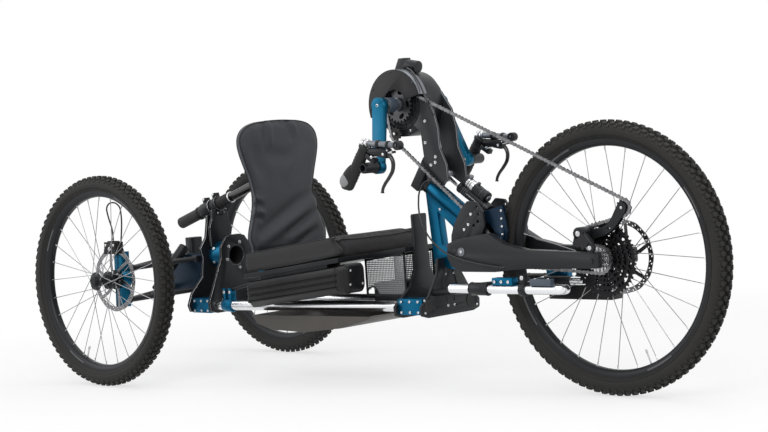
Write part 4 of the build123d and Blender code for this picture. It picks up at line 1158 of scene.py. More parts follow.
def creased(made, place, folds):
    # ridges and furrows on the front of a pad, each (start, end, height, width) in the pad's own X and Y
    back = place.inverted()
    facing = place.to_3x3() @ Vector((0, 0, 1))
    for vertex in made.vertices:
        spot = back @ vertex.co
        if spot.z < 0:
            continue
        lift = 0.0
        for (x0, y0), (x1, y1), height, width in folds:
            run = Vector((x1 - x0, y1 - y0))
            off = Vector((spot.x - x0, spot.y - y0))
            share = min(1, max(0, off.dot(run) / run.length_squared))
            fade = 0.25 + 0.75 * sin(pi * (0.1 + 0.8 * share))
            lift += height * exp(-((off - run * share).length / width) ** 2) * fade
        vertex.co += facing * lift
    return made


def piping(build, made, points, radius):
    # sewn edge cord that follows the pad's surface beside the given points
    skin = BVHTree.FromPolygons([vertex.co for vertex in made.vertices],
                                [list(face.vertices) for face in made.polygons])
    line = [skin.find_nearest(point)[0] for point in points]
    for _ in range(3):
        line = [(line[k - 1] + line[k] * 2 + line[(k + 1) % len(line)]) / 4 for k in range(len(line))]
    build.tube(line, radius, 8, 0, loop=True)


def softPiece(name, made, body, look, nodes, iterations=4, side=None):
    holder = linked(name, made)
    smooth = holder.modifiers.new("smooth", "SMOOTH")
    smooth.iterations, smooth.factor = iterations, 0.5
    finer = holder.modifiers.new("finer", "SUBSURF")
    finer.levels = finer.render_levels = 1
    made = baked(holder)
    bpy.data.objects.remove(holder)
    made.materials.clear()
    made.materials.append(finishes[look])
    if side:                      # the side strip between front and back has its own cloth
        look, facing, limit = side
        made.materials.append(finishes[look])
        for face in made.polygons:
            face.material_index = 1 if abs(face.normal.dot(facing)) < limit else 0
    piece = settled(name, made, body, nodes, sharp=180)
    return piece


backrest = {
    "low": (0.458, 0.372), "high": (0.433, 0.814), "thickness": 0.024,
    "halfWidths": ((0.0, 0.150), (0.08, 0.164), (0.16, 0.171), (0.28, 0.155), (0.42, 0.138), (0.55, 0.142),
                   (0.68, 0.162), (0.80, 0.175), (0.89, 0.170), (0.955, 0.142), (0.99, 0.090)),
    "swell": 0.006, "voxel": 0.0045, "piping": 0.0022,
    "folds": (                     # from, to, height, width, in metres across and up the pad
        ((0.130, 0.172), (-0.125, 0.055), 0.0120, 0.019), ((0.120, 0.206), (-0.118, 0.092), -0.0100, 0.020),
        ((0.126, 0.112), (0.000, 0.056), 0.0110, 0.015), ((0.118, 0.140), (-0.020, 0.076), -0.0090, 0.012),
        ((0.110, 0.080), (0.020, 0.036), -0.0080, 0.011), ((-0.112, 0.330), (-0.085, 0.262), -0.0090, 0.028),
        ((-0.085, 0.330), (0.030, 0.318), -0.0080, 0.024), ((0.010, 0.262), (0.090, 0.335), 0.0060, 0.020),
        ((-0.062, 0.424), (-0.070, 0.345), -0.0062, 0.008), ((-0.040, 0.430), (-0.042, 0.355), 0.0060, 0.008),
        ((-0.092, 0.415), (-0.106, 0.350), 0.0052, 0.009), ((0.040, 0.428), (0.046, 0.372), -0.0050, 0.009),
        ((0.062, 0.425), (0.070, 0.385), 0.0042, 0.008), ((-0.150, 0.205), (-0.105, 0.186), 0.0075, 0.008),
        ((-0.150, 0.186), (-0.105, 0.166), -0.0070, 0.007), ((-0.150, 0.162), (-0.105, 0.146), 0.0075, 0.008),
        ((-0.150, 0.140), (-0.110, 0.126), -0.0060, 0.007), ((-0.142, 0.030), (0.142, 0.022), -0.0070, 0.008),
    ),
    "hem": 0.55,                   # how far a face may turn from the front before it is the side strip
}


def backPlace():                  # the backrest's leaning plane: X across to the left, Y up, Z forward
    low, high = at(backrest["low"][0], 0, backrest["low"][1]), at(backrest["high"][0], 0, backrest["high"][1])
    up = (high - low).normalized()
    across = Vector(toLeft)
    turn = Matrix((across, up, across.cross(up))).transposed()
    return Matrix.Translation(low) @ turn.to_4x4(), (high - low).length


def makeBackrest():
    place, height = backPlace()
    left = [(half, share * height) for share, half in backrest["halfWidths"]]
    loop = smoothLoop(left + [(0.0, height)] + [(-x, y) for x, y in reversed(left)] + [(0.0, 0.004)])
    half = backrest["thickness"] / 2 - 0.003
    layers = [(-half, 0.010), (-half * 0.8, 0.005), (-half * 0.4, 0.003), (half * 0.4, 0.003),
              (half * 0.8, 0.005), (half, 0.010)]
    made = swell("backrest", padShape(loop, layers, place), backrest["voxel"], backrest["swell"])
    made = creased(made, place, backrest["folds"])
    softPiece("backrestPad", made, "frame", "slateFabric", ("seat_back",), 2,
              ("hemFabric", place.to_3x3() @ Vector((0, 0, 1)), backrest["hem"]))
    edge = Build()
    for depth in (half * 2.2, -half * 2.2):
        piping(edge, made, [place @ Vector((point.x, point.y, depth)) for point in drawnIn(loop, -0.003)],
               backrest["piping"])
    edge.piece("backrestPiping", "frame", ["blackPlastic"], sharp=60)


seat = {
    "rear": 0.452, "front": 0.865, "halfWidth": 0.195, "slope": radians(7.2), "frameZ": 0.322,
    "frameThickness": 0.014,
    "height": 0.062, "cheek": 0.022, "swell": 0.010, "voxel": 0.005, "piping": 0.0020, "cheekSwell": 0.003,
    "cheekPiping": 0.0018,
}


def seatPlace():                  # on the seat frame's top back edge: X forward along the slope, Y left
    corner = at(seat["rear"], 0, seat["frameZ"]) + Vector((0, 0, seat["frameThickness"]))
    return Matrix.Translation(corner) @ Matrix.Rotation(-seat["slope"], 4, "Y")


def makeSeat():
    place = seatPlace()
    stretch = 1 / cos(seat["slope"])
    rear, front = 0.030 * stretch, (seat["front"] - seat["rear"]) * stretch
    side = seat["halfWidth"] - seat["cheek"]
    corner = 0.030
    loop = smoothLoop([(rear + corner, -side + 0.004), ((rear + front) / 2, -side + 0.010),
                       (front - corner, -side + 0.006),
                       (front - 0.010, -side + 0.012), (front - 0.004, -side + corner + 0.006),
                       (front - 0.006, 0.0),
                       (front - 0.004, side - corner - 0.006), (front - 0.010, side - 0.012),
                       (front - corner, side - 0.006),
                       ((rear + front) / 2, side - 0.010), (rear + corner, side - 0.004),
                       (rear + 0.008, side - 0.012),
                       (rear + 0.004, side - corner), (rear + 0.006, 0.0), (rear + 0.004, -side + corner),
                       (rear + 0.008, -side + 0.012)], 5)
    height = seat["height"]
    layers = [(0.001, 0.010), (0.006, 0.003), (height * 0.5, 0.002), (height * 0.80, 0.006),
              (height * 0.90, 0.018)]
    made = swell("cushion", padShape(loop, layers, place), seat["voxel"], seat["swell"])
    softPiece("seatCushion", made, "frame", "seatFabric", ("seat_cushion",))
    edge = Build()
    piping(edge, made, [place @ Vector((point.x, point.y, height * 1.1)) for point in drawnIn(loop, -0.006)],
           seat["piping"])
    cheeks = Build()
    end = 0.006 + (front - 0.012 - 0.006)
    loop = smoothLoop([(0.032, 0.001), (end, 0.002), (end, height * 0.86), (end - 0.02, height + 0.004),
                       (0.044, height + 0.004), (0.017, height * 0.92), (0.006, height * 0.55),
                       (0.012, height * 0.14)], 4)
    thick = seat["cheek"] / 2 - 0.003
    layers = [(-thick, 0.006), (-thick * 0.7, 0.001), (thick * 0.7, 0.001), (thick, 0.006)]
    for hand in (1, -1):
        middle = hand * (seat["halfWidth"] - seat["cheek"] / 2)
        turned = place @ Matrix.Translation((0, middle, 0)) @ Matrix.Rotation(pi / 2, 4, "X")
        made = swell("cheek", padShape(loop, layers, turned), backrest["voxel"], seat["cheekSwell"])
        cheeks.take(made, 0)
        piping(edge, made, [turned @ Vector((point.x, point.y, -hand * 2.2 * thick))
                            for point in drawnIn(loop, -0.004)],
               seat["cheekPiping"])
    softPiece("seatCheeks", cheeks.mesh("cheeks", []), "frame", "seatFabric", ("seat_cheeks",))
    edge.piece("seatPiping", "frame", ["blackPlastic"], sharp=60)


makeBackrest()
makeSeat()
print("soft goods made")

# screws
screwRow = Shapes("screwRow", {"Screw": "object", "Places": "object"})


def fillScrewRow():               # a screw on each point, turned to its facing and as large as its size
    tree = screwRow
    facing = tree.add("GeometryNodeInputNamedAttribute", {"data_type": "FLOAT_VECTOR"}, {"Name": "facing"})
    size = tree.add("GeometryNodeInputNamedAttribute", {"data_type": "FLOAT"}, {"Name": "size"})
    turned = tree.add("FunctionNodeAlignRotationToVector", {"axis": "Z"}, {"Vector": facing["Attribute"]})[0]
    tree.end(tree.copies(tree.shape("Places"), "Screw", {"Rotation": turned, "Scale": size["Attribute"]}))


fillScrewRow()
screwShapes = {                   # rings of (radius, height); a negative radius is a hexagon
    "button": ((1.0, -0.3), (1.0, 0.0), (0.97, 0.16), (0.82, 0.42), (0.60, 0.54), (-0.50, 0.56),
               (-0.48, 0.15), (0.01, 0.12)),
    "cap": ((0.97, -0.3), (0.97, 0.06), (1.0, 0.12), (1.0, 0.92), (0.92, 1.0), (0.66, 1.0), (-0.58, 1.0),
            (-0.56, 0.40), (0.01, 0.36)),
    "nut": ((-1.12, -0.2), (-1.12, 0.55), (-1.0, 0.66), (0.55, 0.68), (0.55, 0.95), (0.45, 1.02),
            (0.01, 1.02)),
    "washer": ((1.0, -0.2), (1.0, 0.10), (0.93, 0.16), (0.42, 0.16), (0.40, 0.02), (0.01, 0.02)),
}


def screwShape(kind):
    rings = []
    for radius, height in screwShapes[kind]:
        ring = []
        for step in range(24):
            turn = 2 * pi * step / 24
            reach = radius
            if radius < 0:
                reach = -radius * cos(pi / 6) / cos((turn % (pi / 3)) - pi / 6)
            ring.append((reach * cos(turn), reach * sin(turn), height))
        rings.append(ring)
    shape = Build()
    shape.skin(rings)
    return shapeHolder(shape, kind)


def screws(name, body, rows, kind="button", look="brightSteel", hands=(1, -1)):
    # rows of (place, facing, radius), on both sides of the middle unless told otherwise
    places, facings, sizes = [], [], []
    for place, facing, radius in rows:
        for hand in hands:
            if hand < 0 and -1 in hands and 1 in hands and abs(place.y) < 0.0005 and abs(facing[1]) < 0.01:
                continue
            places.append((place.x, place.y * hand, place.z))
            facings += [facing[0], facing[1] * hand, facing[2]]
            sizes.append(radius)
    spots = placeHolder(places)
    spots.data.attributes.new("facing", "FLOAT_VECTOR", "POINT").data.foreach_set("vector", facings)
    spots.data.attributes.new("size", "FLOAT", "POINT").data.foreach_set("value", sizes)
    made = screwRow.mesh(look, {"Screw": screwShape(kind), "Places": spots})
    return settled(name, made, body, sharp=30)


# back and front plates
plates = {
    "back": 0.100, "boltCircle": 0.0432, "boltTurns": (137, 68, 196, 285, 349), "flange": 0.198,
    "nose": 1.010, "front": 1.112, "thick": 0.009,
    "tubeZ": 0.379, "tubeRadius": 0.033, "railHalf": 0.092, "railRear": (0.112, 0.224),
    "railFront": (1.118, 0.2395),
}


def railZ(x):
    (x0, z0), (x1, z1) = plates["railRear"], plates["railFront"]
    return z0 + (z1 - z0) * (x - x0) / (x1 - x0)


def makePlates():
    flange = plates["flange"] + plates["thick"]
    ring = [(plates["boltCircle"] * cos(radians(turn)),
             plates["tubeZ"] + plates["boltCircle"] * sin(radians(turn)))
            for turn in plates["boltTurns"]]
    screws("flangeScrews", "frame", [(at(flange, y, z), toFront, 0.0058) for y, z in ring], hands=(1,))
    screws("flangeNuts", "frame",
           [(at(plates["flange"], y, z), toBack, 0.0044) for y, z in ring], "nut", hands=(1,))
    rows = [(at(flange, 0.070, 0.240), toFront, 0.0042), (at(flange, 0.066, 0.210), toFront, 0.0042)]
    front = plates["front"] + plates["thick"]
    lobe = plates["railHalf"]
    rows += [(at(front, lobe + 0.0215, railZ(front) + 0.0175), toFront, 0.0040),
             (at(front, lobe + 0.0215, railZ(front) - 0.0175), toFront, 0.0040),
             (at(front, 0.018, 0.325), toFront, 0.0042), (at(front, 0.014, 0.233), toFront, 0.0042)]
    nose = plates["nose"]
    rows += [(at(nose, 0.070, 0.235), toBack, 0.0042), (at(nose, 0.030, 0.300), toBack, 0.0042)]
    rows += [(at(plates["back"], y, z), toBack, 0.0042) for y, z in (
        (0.045, 0.330), (0.045, 0.385), (0.110, 0.245), (0.070, 0.250), (0.020, 0.450))]
    screws("plateScrews", "frame", rows)
    clampRows = []
    for first, last in ((0.109, 0.198), (1.019, 1.112)):
        for share in (0.16, 0.52, 0.86):
            x = first + (last - first) * share
            for lift in (0.0155, -0.0155):
                clampRows.append((at(x, plates["railHalf"] + 0.025, railZ(x) + lift), toLeft, 0.0040))
    screws("clampScrews", "frame", clampRows, "cap")
    tubeRows = []
    for turn in (150, 205):
        way = (0, cos(radians(turn)), sin(radians(turn)))
        tubeRows += [(at(x, 0.045 * way[1], plates["tubeZ"] + 0.045 * way[2]), way, 0.0046)
                     for x in (0.146, 0.180)]
    screws("tubeScrews", "frame", tubeRows, "cap")
    ribs = Build()                # raised ribs and rings on the front plate
    for hand in (1, -1):
        for (y0, z0), (y1, z1) in (((0.014, 0.345), (0.034, 0.286)), ((0.034, 0.286), (0.010, 0.2845)),
                                   ((0.066, 0.2335), (0.022, 0.232)), ((0.018, 0.266), (0.016, 0.244))):
            start, end = at(front + 0.0004, hand * y0, z0), at(front + 0.0004, hand * y1, z1)
            ribs.bar(start, end, 0.0022, 10, 0, 0.0006)
        centre = at(front, hand * lobe, railZ(front))
        ribs.lathe([(0.0188, -0.001), (0.0205, 0.0014), (0.0215, 0.0016), (0.0228, 0.0006), (0.0228, -0.001)],
                   centre, toFront, 40, 0, loop=True)
        ribs.lathe([(0.0175, -0.006), (0.0175, -0.0012), (0.0165, -0.0006), (0.0005, -0.0006)], centre,
                   toFront, 40, 1)
        if hand > 0:              # domed collar round the tube between the back plates
            ribs.lathe([(0.0325, 0), (0.0400, 0.0005), (0.0440, 0.0045), (0.0455, 0.013), (0.0455, 0.064),
                        (0.0445, 0.069), (0.0325, 0.0695)],
                       at(0.1255, 0, plates["tubeZ"]), toFront, 56, 2, loop=True)
        plug = at(0.108, hand * lobe, railZ(0.108))       # in the rail's back end
        ribs.lathe([(0.0128, -0.004), (0.0128, 0.004), (0.0115, 0.005), (0.0005, 0.005)], plug, toBack, 32, 1)
    ribs.piece("plateRibs", "frame", ["charcoalPaint", "blackPlastic", "blueAnodised"], merge=True)


# steering column, arm and shock
column = {
    "pivot": (1.224, 0.395), "plateOut": 0.066, "armOut": 0.090, "steer": (1.150, 0.527), "slope": 35.0,
    "plateHoles": ((1.296, 0.518), (1.301, 0.498), (1.297, 0.478), (1.281, 0.467), (1.2275, 0.424),
                   (1.2215, 0.409), (1.222, 0.393)),
    "plateScrews": ((1.2735, 0.499), (1.246, 0.456), (1.262, 0.470)),
    "mastScrews": ((1.104, 0.768), (1.101, 0.706), (1.136, 0.664), (1.134, 0.648), (1.117, 0.641)),
    "shockTop": (1.102, 0.634), "shockFoot": (1.302, 0.494),
}


def makeColumn():
    out, holes = column["plateOut"], []
    for x, z in column["plateHoles"]:
        for hand in (1, -1):
            holes.append((at(x, hand * (out - 0.012), z), at(x, hand * (out + 0.004), z), 0.0046))
    machined("pivot_plates", ("charcoalPaint", "greyMetal"), 0.0010, 1, holes=holes)
    rows = [(at(x, out, z), toLeft, 0.0052) for x, z in column["plateScrews"]]
    rows += [(at(x, 0.044, z), toLeft, 0.0056) for x, z in column["mastScrews"]]
    screws("columnScrews", "steering", rows)
    screws("headScrews", "frame", [(at(1.122, 0.024, 0.512), toLeft, 0.0045)])
    slope = radians(column["slope"])
    axis = Vector((cos(slope), 0, -sin(slope)))
    steer = at(column["steer"][0], 0, column["steer"][1])
    cups = Build()                # dark headset cups at both ends of the head tube
    for start, side in ((-0.104, 1), (0.095, -1)):
        cups.lathe([(0.0235, 0), (0.0262, 0.0006), (0.0272, 0.003), (0.0272, 0.013), (0.0258, 0.0155),
                    (0.0258, 0.019),
                      (0.0235, 0.020)], steer + axis * (start - side * 0.002), axis * side, 48, 0, loop=True)
    cups.piece("headsetCups", "frame", ["blackAnodised"], sharp=32)
    yokeRows = [(at(1.369, 0.048, z), toLeft, 0.0042) for z in (0.506, 0.484, 0.462, 0.440)]
    yokeRows += [(at(column["shockFoot"][0], 0.048, column["shockFoot"][1]), toLeft, 0.0075)]
    screws("yokeScrews", "steering", yokeRows)
    x, z = column["pivot"]
    screws("pivotCaps", "steering", [(at(x + 0.026, column["armOut"], z), toLeft, 0.0125)], "washer",
           "greyMetal")
    screws("pivotPins", "steering", [(at(x + 0.026, column["armOut"] + 0.001, z), toLeft, 0.0052)])


shock = {
    "eyes": ((0.0, 0.017, 0.0150), (1.0, 0.020, 0.0135)),     # share of the length, half width and radius
    "body": ((0.03, 0.20, 0.0160, 0), (0.18, 0.22, 0.0175, 2), (0.20, 0.46, 0.0085, 1),
             (0.42, 0.46, 0.0178, 0), (0.45, 0.93, 0.0165, 0)),    # from, to, radius and finish
    "bodyBands": (0.50, 0.53, 0.56, 0.86, 0.89),
    "tank": ((0.44, 0.50, 0.0172, 0), (0.49, 0.62, 0.0158, 1), (0.61, 0.78, 0.0158, 0)),
    "tankBands": (0.53, 0.565, 0.74), "tankEnd": ((0.77, 0.83, 0.0172, 0), (0.83, 0.855, 0.0090, 2)),
    "tankLift": 0.026, "soft": 0.0012,
}


def makeShock():
    (topX, topZ), (footX, footZ) = column["shockTop"], column["shockFoot"]
    top = at(topX, 0, topZ)
    run = at(footX, 0, footZ) - top
    along = run.normalized()
    over = Vector(toLeft).cross(along)
    if over.z < 0:
        over = -over
    made = Build()

    def spot(share, lift=0.0):
        return top + run * share + over * lift

    def tubes(rows, lift=0.0, soft=shock["soft"]):
        for first, last, radius, mark in rows:
            made.bar(spot(first, lift), spot(last, lift), radius, 36, mark, soft)

    for share, wide, radius in shock["eyes"]:
        eye = spot(share)
        made.across(eye, wide, wide, radius, 32, 0, 0.0015)
        made.across(eye, wide + 0.003, wide + 0.003, radius * 0.62, 24, 2, 0.001)
        made.across(eye, wide + 0.006, wide + 0.006, radius * 0.36, 20, 1, 0.001)
    tubes(shock["body"])
    tubes([(share, share + 0.012, 0.0172, 3) for share in shock["bodyBands"]], 0.0, 0.0004)
    tubes(shock["tank"], shock["tankLift"])
    tubes([(share, share + 0.008, 0.0163, 3) for share in shock["tankBands"]], shock["tankLift"], 0.0003)
    tubes(shock["tankEnd"], shock["tankLift"])
    made.block(spot(0.47, 0.014), (0.020, 0.020, 0.016), turnTo(along))
    made.block(spot(0.80, 0.014), (0.018, 0.018, 0.014), turnTo(along))
    made.bar(spot(0.50, 0.040), spot(0.50, 0.050), 0.0070, 20, 2, 0.001)
    made.bar(spot(0.64, 0.040), spot(0.64, 0.048), 0.0050, 20, 3, 0.001)
    for hand in (1, -1):                  # bright steel strips on both sides of the lower body: a painted highlight
        strip = spot(0.70, 0.004) + Vector((0, hand * 0.0162, 0))
        made.block(strip, (0.010, 0.0016, 0.052), turnTo(along), 1)
    made.piece("frontShock", "steering", ["blackAnodised", "brightSteel", "greyMetal", "darkSteel"],
               ("front_shock",), bevel=0.0006)


grip = {"rear": (-0.054, 0.485), "front": (0.425, 0.638), "collars": (0.087, 0.1345), "ring": 0.2005}


def makeGripClamps():
    (x0, z0), (x1, z1) = grip["rear"], grip["front"]
    way = (at(x1, 0, z1) - at(x0, 0, z0)).normalized()
    over = Vector((-way.z, 0, way.x))

    def spot(x, lift=0.0, out=0.0):
        return at(x, out, z0 + (z1 - z0) * (x - x0) / (x1 - x0)) + over * lift

    clamps = Build()
    for x in grip["collars"]:
        for lift in (0.030, -0.029):      # split ears with their bolts, above and below
            for out in (0.0058, -0.0058):
                clamps.block(spot(x, lift, out), (0.0095, 0.014, 0.015), turnTo(way, over), 0)
            centre = spot(x, lift + 0.001 * (1 if lift > 0 else -1))
            clamps.across(centre, 0.0150, 0.0150, 0.0042, 18, 1, 0.0008)
    ring = spot(grip["ring"])
    clamps.lathe(collar(0.0150, 0.0182, 0.0035, 0.0010, 0.0015), ring, way, 40, 1, loop=True)
    clamps.piece("gripClamps", "frame", ["blackAnodised", "brightSteel"], bevel=0.0008, sharp=32)


def makeSeatClamps():             # clamps on the rails' back ends and the bars up to the seat frame
    stays = Build()
    for hand in (1, -1):
        y = hand * plates["railHalf"]
        foot = at(0.262, y, railZ(0.262))
        stays.lathe(collar(0.0165, 0.0215, 0.020, 0.0010, 0.002), foot, (1, 0, -0.015), 36, 0, loop=True)
        for x in (0.250, 0.276):
            stays.block(at(x, y, railZ(x) + 0.036), (0.012, 0.022, 0.036), None, 0)
            stays.bar(at(x, y - 0.0125, railZ(x) + 0.042),
                      at(x, y + 0.0125, railZ(x) + 0.042), 0.0052, 20, 1, 0.0008)
        stays.bar(at(0.263, y, railZ(0.263) + 0.046), at(0.470, y, 0.3195), 0.0055, 18, 2, 0.0008)
        stays.bar(at(0.263, y - 0.006, railZ(0.263) + 0.046), at(0.263, y + 0.006, railZ(0.263) + 0.046),
                  0.0085, 20, 2, 0.001)
    stays.piece("seatStays", "frame",
                ["blueAnodised", "brightSteel", "blackAnodised"], bevel=0.0010, sharp=32)


makePlates()
makeGripClamps()
makeSeatClamps()
makeColumn()
makeShock()
print("plates, column and shock made")

# cranks and handles
hands = {
    "end": (1.050, 0.191, 0.647), "gripY": 0.250, "armHalf": 0.011,
    "gripTop": (0.012, 0.064), "gripFoot": (-0.072, -0.056), "gripRadius": 0.0165,
    "palm": ((-0.036, 0.008), (-0.062, -0.026), (-0.082, -0.054)), "palmRadius": 0.0205,
    "blade": ((0.078, 0.040), (0.098, 0.033), (0.1105, 0.014), (0.1075, -0.010), (0.092, -0.030),
              (0.076, -0.046), (0.066, -0.060), (0.063, -0.072)),
    "barEnd": ((0.000, 0.070), (0.132, 0.0585)), "spindleRadius": 0.017, "spindleHalf": 0.120,
}


def makeHandle(hand):
    name = "left" if hand > 0 else "right"
    endX, endY, endZ = hands["end"]

    def spot(x, z, out=0.0):
        return at(endX + x, hand * (hands["gripY"] + out), endZ + z)

    grip = Build()
    top, foot = spot(*hands["gripTop"]), spot(*hands["gripFoot"])
    length, radius = (top - foot).length, hands["gripRadius"]
    profile = [(0.004, -0.001), (radius * 0.62, -0.0005), (radius * 0.86, 0.003), (radius * 0.98, 0.009),
               (radius, 0.020)]
    for ridge in range(9):                # fine ridges round the grip
        along = 0.030 + ridge * 0.0095
        profile += [(radius, along), (radius + 0.0009, along + 0.0018), (radius + 0.0009, along + 0.0042),
                    (radius, along + 0.006)]
    profile += [(radius * 0.98, length - 0.014), (radius + 0.0026, length - 0.010),
                (radius + 0.0026, length - 0.004), (radius * 0.8, length - 0.001), (0.003, length)]
    grip.lathe(profile, foot, top - foot, 32, 0)
    palm = smoothRun([spot(x, z, 0.002) for x, z in hands["palm"]], 7)
    grip.tube(palm,
              lambda share: hands["palmRadius"] * max(0.12, sin(pi * (0.06 + 0.88 * share))) ** 0.45, 24, 0)
    pad = [place + Vector((-0.0012, hand * 0.0052, 0.0006)) for place in palm[4:-1]]
    grip.tube(pad, lambda share: 0.0185 * max(0.10, sin(pi * (0.05 + 0.90 * share))) ** 0.5, 24, 1)
    start = hand * (endY + hands["armHalf"] + 0.003)
    pin = at(endX, start, endZ)
    outer = at(endX, hand * (hands["gripY"] + 0.008), endZ)
    run = (outer - pin).length
    grip.lathe([(0.0095, 0), (0.0160, 0), (0.0170, 0.001), (0.0170, 0.008), (0.0155, 0.010),
                (0.0155, run - 0.004), (0.0140, run), (0.0095, run)], pin, outer - pin, 36, 2, loop=True)
    grip.piece(name + "GripShaped", name + "_handle", ["gripRubber", "palmGrey", "blackAnodised"],
               (name + "_grip",), sharp=40)
    parts = Build()
    first, last = (spot(x, z) for x, z in hands["barEnd"])
    parts.bar(first, last, 0.0088, 24, 0, 0.0012)
    way = (last - first).normalized()
    tip = last + way * 0.002
    parts.lathe(collar(0.0060, 0.0132, 0.010, 0.0007, 0.002), tip, (0, hand, 0), 28, 2, loop=True)
    for along, size, mark in ((0.006, 0.0135, 1), (0.018, 0.0125, 1), (0.060, 0.0118, 2), (0.098, 0.0112, 2)):
        centre = first + way * along      # clamps on the bar
        parts.bar(centre - way * 0.0045, centre + way * 0.0045, size, 28, mark, 0.0008)
        ear = centre + Vector((0, 0, -size - 0.004))
        parts.block(ear, (0.009, 0.012, 0.012), turnTo(way, Vector(toLeft)), mark)
        parts.across(ear, 0.009, 0.009, 0.0026, 12, 1, 0.0005)
    body = smoothRun([spot(0.022, 0.048), spot(0.045, 0.044), spot(0.070, 0.043), spot(0.092, 0.040)], 4)
    parts.tube(body, lambda share: 0.0095 + 0.0030 * sin(pi * share), 20, 2)
    parts.block(spot(0.078, 0.036), (0.030, 0.016, 0.018), Matrix.Rotation(0.2, 3, "Y"), 2)
    parts.bar(spot(0.092, 0.040), spot(0.112, 0.0405), 0.0048, 16, 1, 0.0008)
    parts.bar(spot(0.112, 0.0405), spot(0.122, 0.041), 0.0034, 14, 2, 0.0006)
    parts.bar(spot(0.084, 0.036, -0.0125), spot(0.084, 0.036, 0.0125), 0.0042, 16, 1, 0.0006)
    parts.bar(spot(0.038, 0.030, -0.011), spot(0.038, 0.030, 0.011), 0.0046, 16, 1, 0.0006)
    parts.block(spot(0.030, 0.026), (0.036, 0.018, 0.014), Matrix.Rotation(0.55, 3, "Y"), 2)
    blade = smoothRun([spot(x, z) for x, z in hands["blade"]], 6)
    parts.tube(blade, lambda share: 0.0066 - 0.0024 * share + 0.0012 * (share > 0.96), 16, 3, squeeze=0.62)
    parts.piece(name + "ControlsShaped", name + "_handle",
                ["greyMetal", "brightSteel", "blackAnodised", "blackGloss"],
                (name + "_controls",), bevel=0.0008, sharp=32)


def makeCranks():
    x, z = trike["crank"]
    spindle = Build()
    half, radius = hands["spindleHalf"], hands["spindleRadius"]
    profile = [(0.0, -half), (radius - 0.001, -half), (radius, -half + 0.001)]
    for first, last, high in ((-half + 0.004, -half + 0.010, 0.0025), (-0.064, -0.058, 0.0030),
                              (0.058, 0.064, 0.0030), (half - 0.010, half - 0.004, 0.0025)):
        profile += [(radius, first), (radius + high, first + 0.0004), (radius + high, last - 0.0004),
                    (radius, last)]
    profile += [(radius, half - 0.001), (radius - 0.001, half), (0.0, half)]
    centre = at(x, 0, z)
    spindle.lathe([(max(r, 0.0004), along) for r, along in profile], centre, toLeft, 48, 0)
    for along in (-half + 0.007, half - 0.007):
        spindle.lathe([(radius + 0.0021, along - 0.0026), (radius + 0.0033, along - 0.002),
                       (radius + 0.0033, along + 0.002),
                       (radius + 0.0021, along + 0.0026)], centre, toLeft, 48, 1, loop=True)
    for first, length, way in ((0.066, 0.042, toLeft), (-0.076, 0.032, toRight)):   # sleeves beside the mast
        profile = [(radius - 0.001, 0), (0.0205, 0), (0.0220, 0.0015), (0.0220, length - 0.0015),
                   (0.0205, length), (radius - 0.001, length)]
        spindle.lathe(profile, centre + Vector((0, first, 0)), way, 48, 3, loop=True)
    ring = toothedPlate(drive["ring"], 0.0030, 0.0175, ((5, 0.036, 0.0065, 1.7),))
    ring.transform(Matrix.Translation(at(x, trike["chainY"], z)))
    spindle.take(ring, 2)
    spindle.piece("crankSpindleShaped", "crank", ["greyMetal", "brightSteel", "darkSteel", "slatePaint"],
                  ("crank_spindle",))
    endX, endY, endZ = hands["end"]
    rows = [(at(x, 0.1405, z), toLeft, 0.0058), (at(endX, endY - 0.011, endZ), toRight, 0.0072),
            (at(endX - 0.004, endY - 0.004, endZ + 0.020), toRight, 0.0036)]
    screws("crankScrews", "crank", rows)
    housing = Build()                     # rings and ribs on the housing's right face
    for reach, wide in ((0.088, 0.0022), (0.074, 0.0016), (0.060, 0.0016), (0.046, 0.0020)):
        housing.lathe([(reach - wide, -0.0355), (reach - wide, -0.0375), (reach, -0.0385),
                       (reach + wide, -0.0375), (reach + wide, -0.0355)], centre, toLeft, 72, 0, loop=True)
    for rib in range(18):
        turn = 2 * pi * rib / 18
        way = Vector((cos(turn), 0, sin(turn)))
        housing.bar(centre + way * 0.048 + Vector((0, -0.0365, 0)),
                    centre + way * 0.072 + Vector((0, -0.0365, 0)), 0.0012, 8, 0)
    housing.piece("housingRibs", "steering", ["blackAnodised"], sharp=40)
    rows = [(at(x + 0.082 * cos(radians(turn)), -0.0364, z + 0.082 * sin(radians(turn))), toRight, 0.0042)
            for turn in range(20, 380, 45)]
    screws("housingScrews", "steering", rows, hands=(1,))
    rows = [(at(x + 0.096 * cos(radians(turn)), -0.070, z + 0.096 * sin(radians(turn))), toRight, 0.0034)
            for turn in (38, 95, 150, 185)]
    screws("guardScrews", "steering", rows, look="darkSteel", hands=(1,))


makeHandle(1)
makeHandle(-1)
makeCranks()
print("cranks and handles made")


# derailleur and guide wheels
def toothedWheel(build, x, z, radius, mark, boltMark, thick=0.0036):
    wheel = toothedPlate(radius, thick, 0.0042, ((5, radius * 0.56, radius * 0.16, 1.5),) if radius > 0.019
                         else (), 0.0040)
    wheel.transform(Matrix.Translation(at(x, trike["chainY"], z)))
    build.take(wheel, mark)
    centre = at(x, trike["chainY"], z)
    build.across(centre, 0.0058, 0.0058, 0.0062, 20, mark, 0.0006)
    build.across(centre, 0.0100, 0.0085, 0.0040, 16, boltMark, 0.0006)


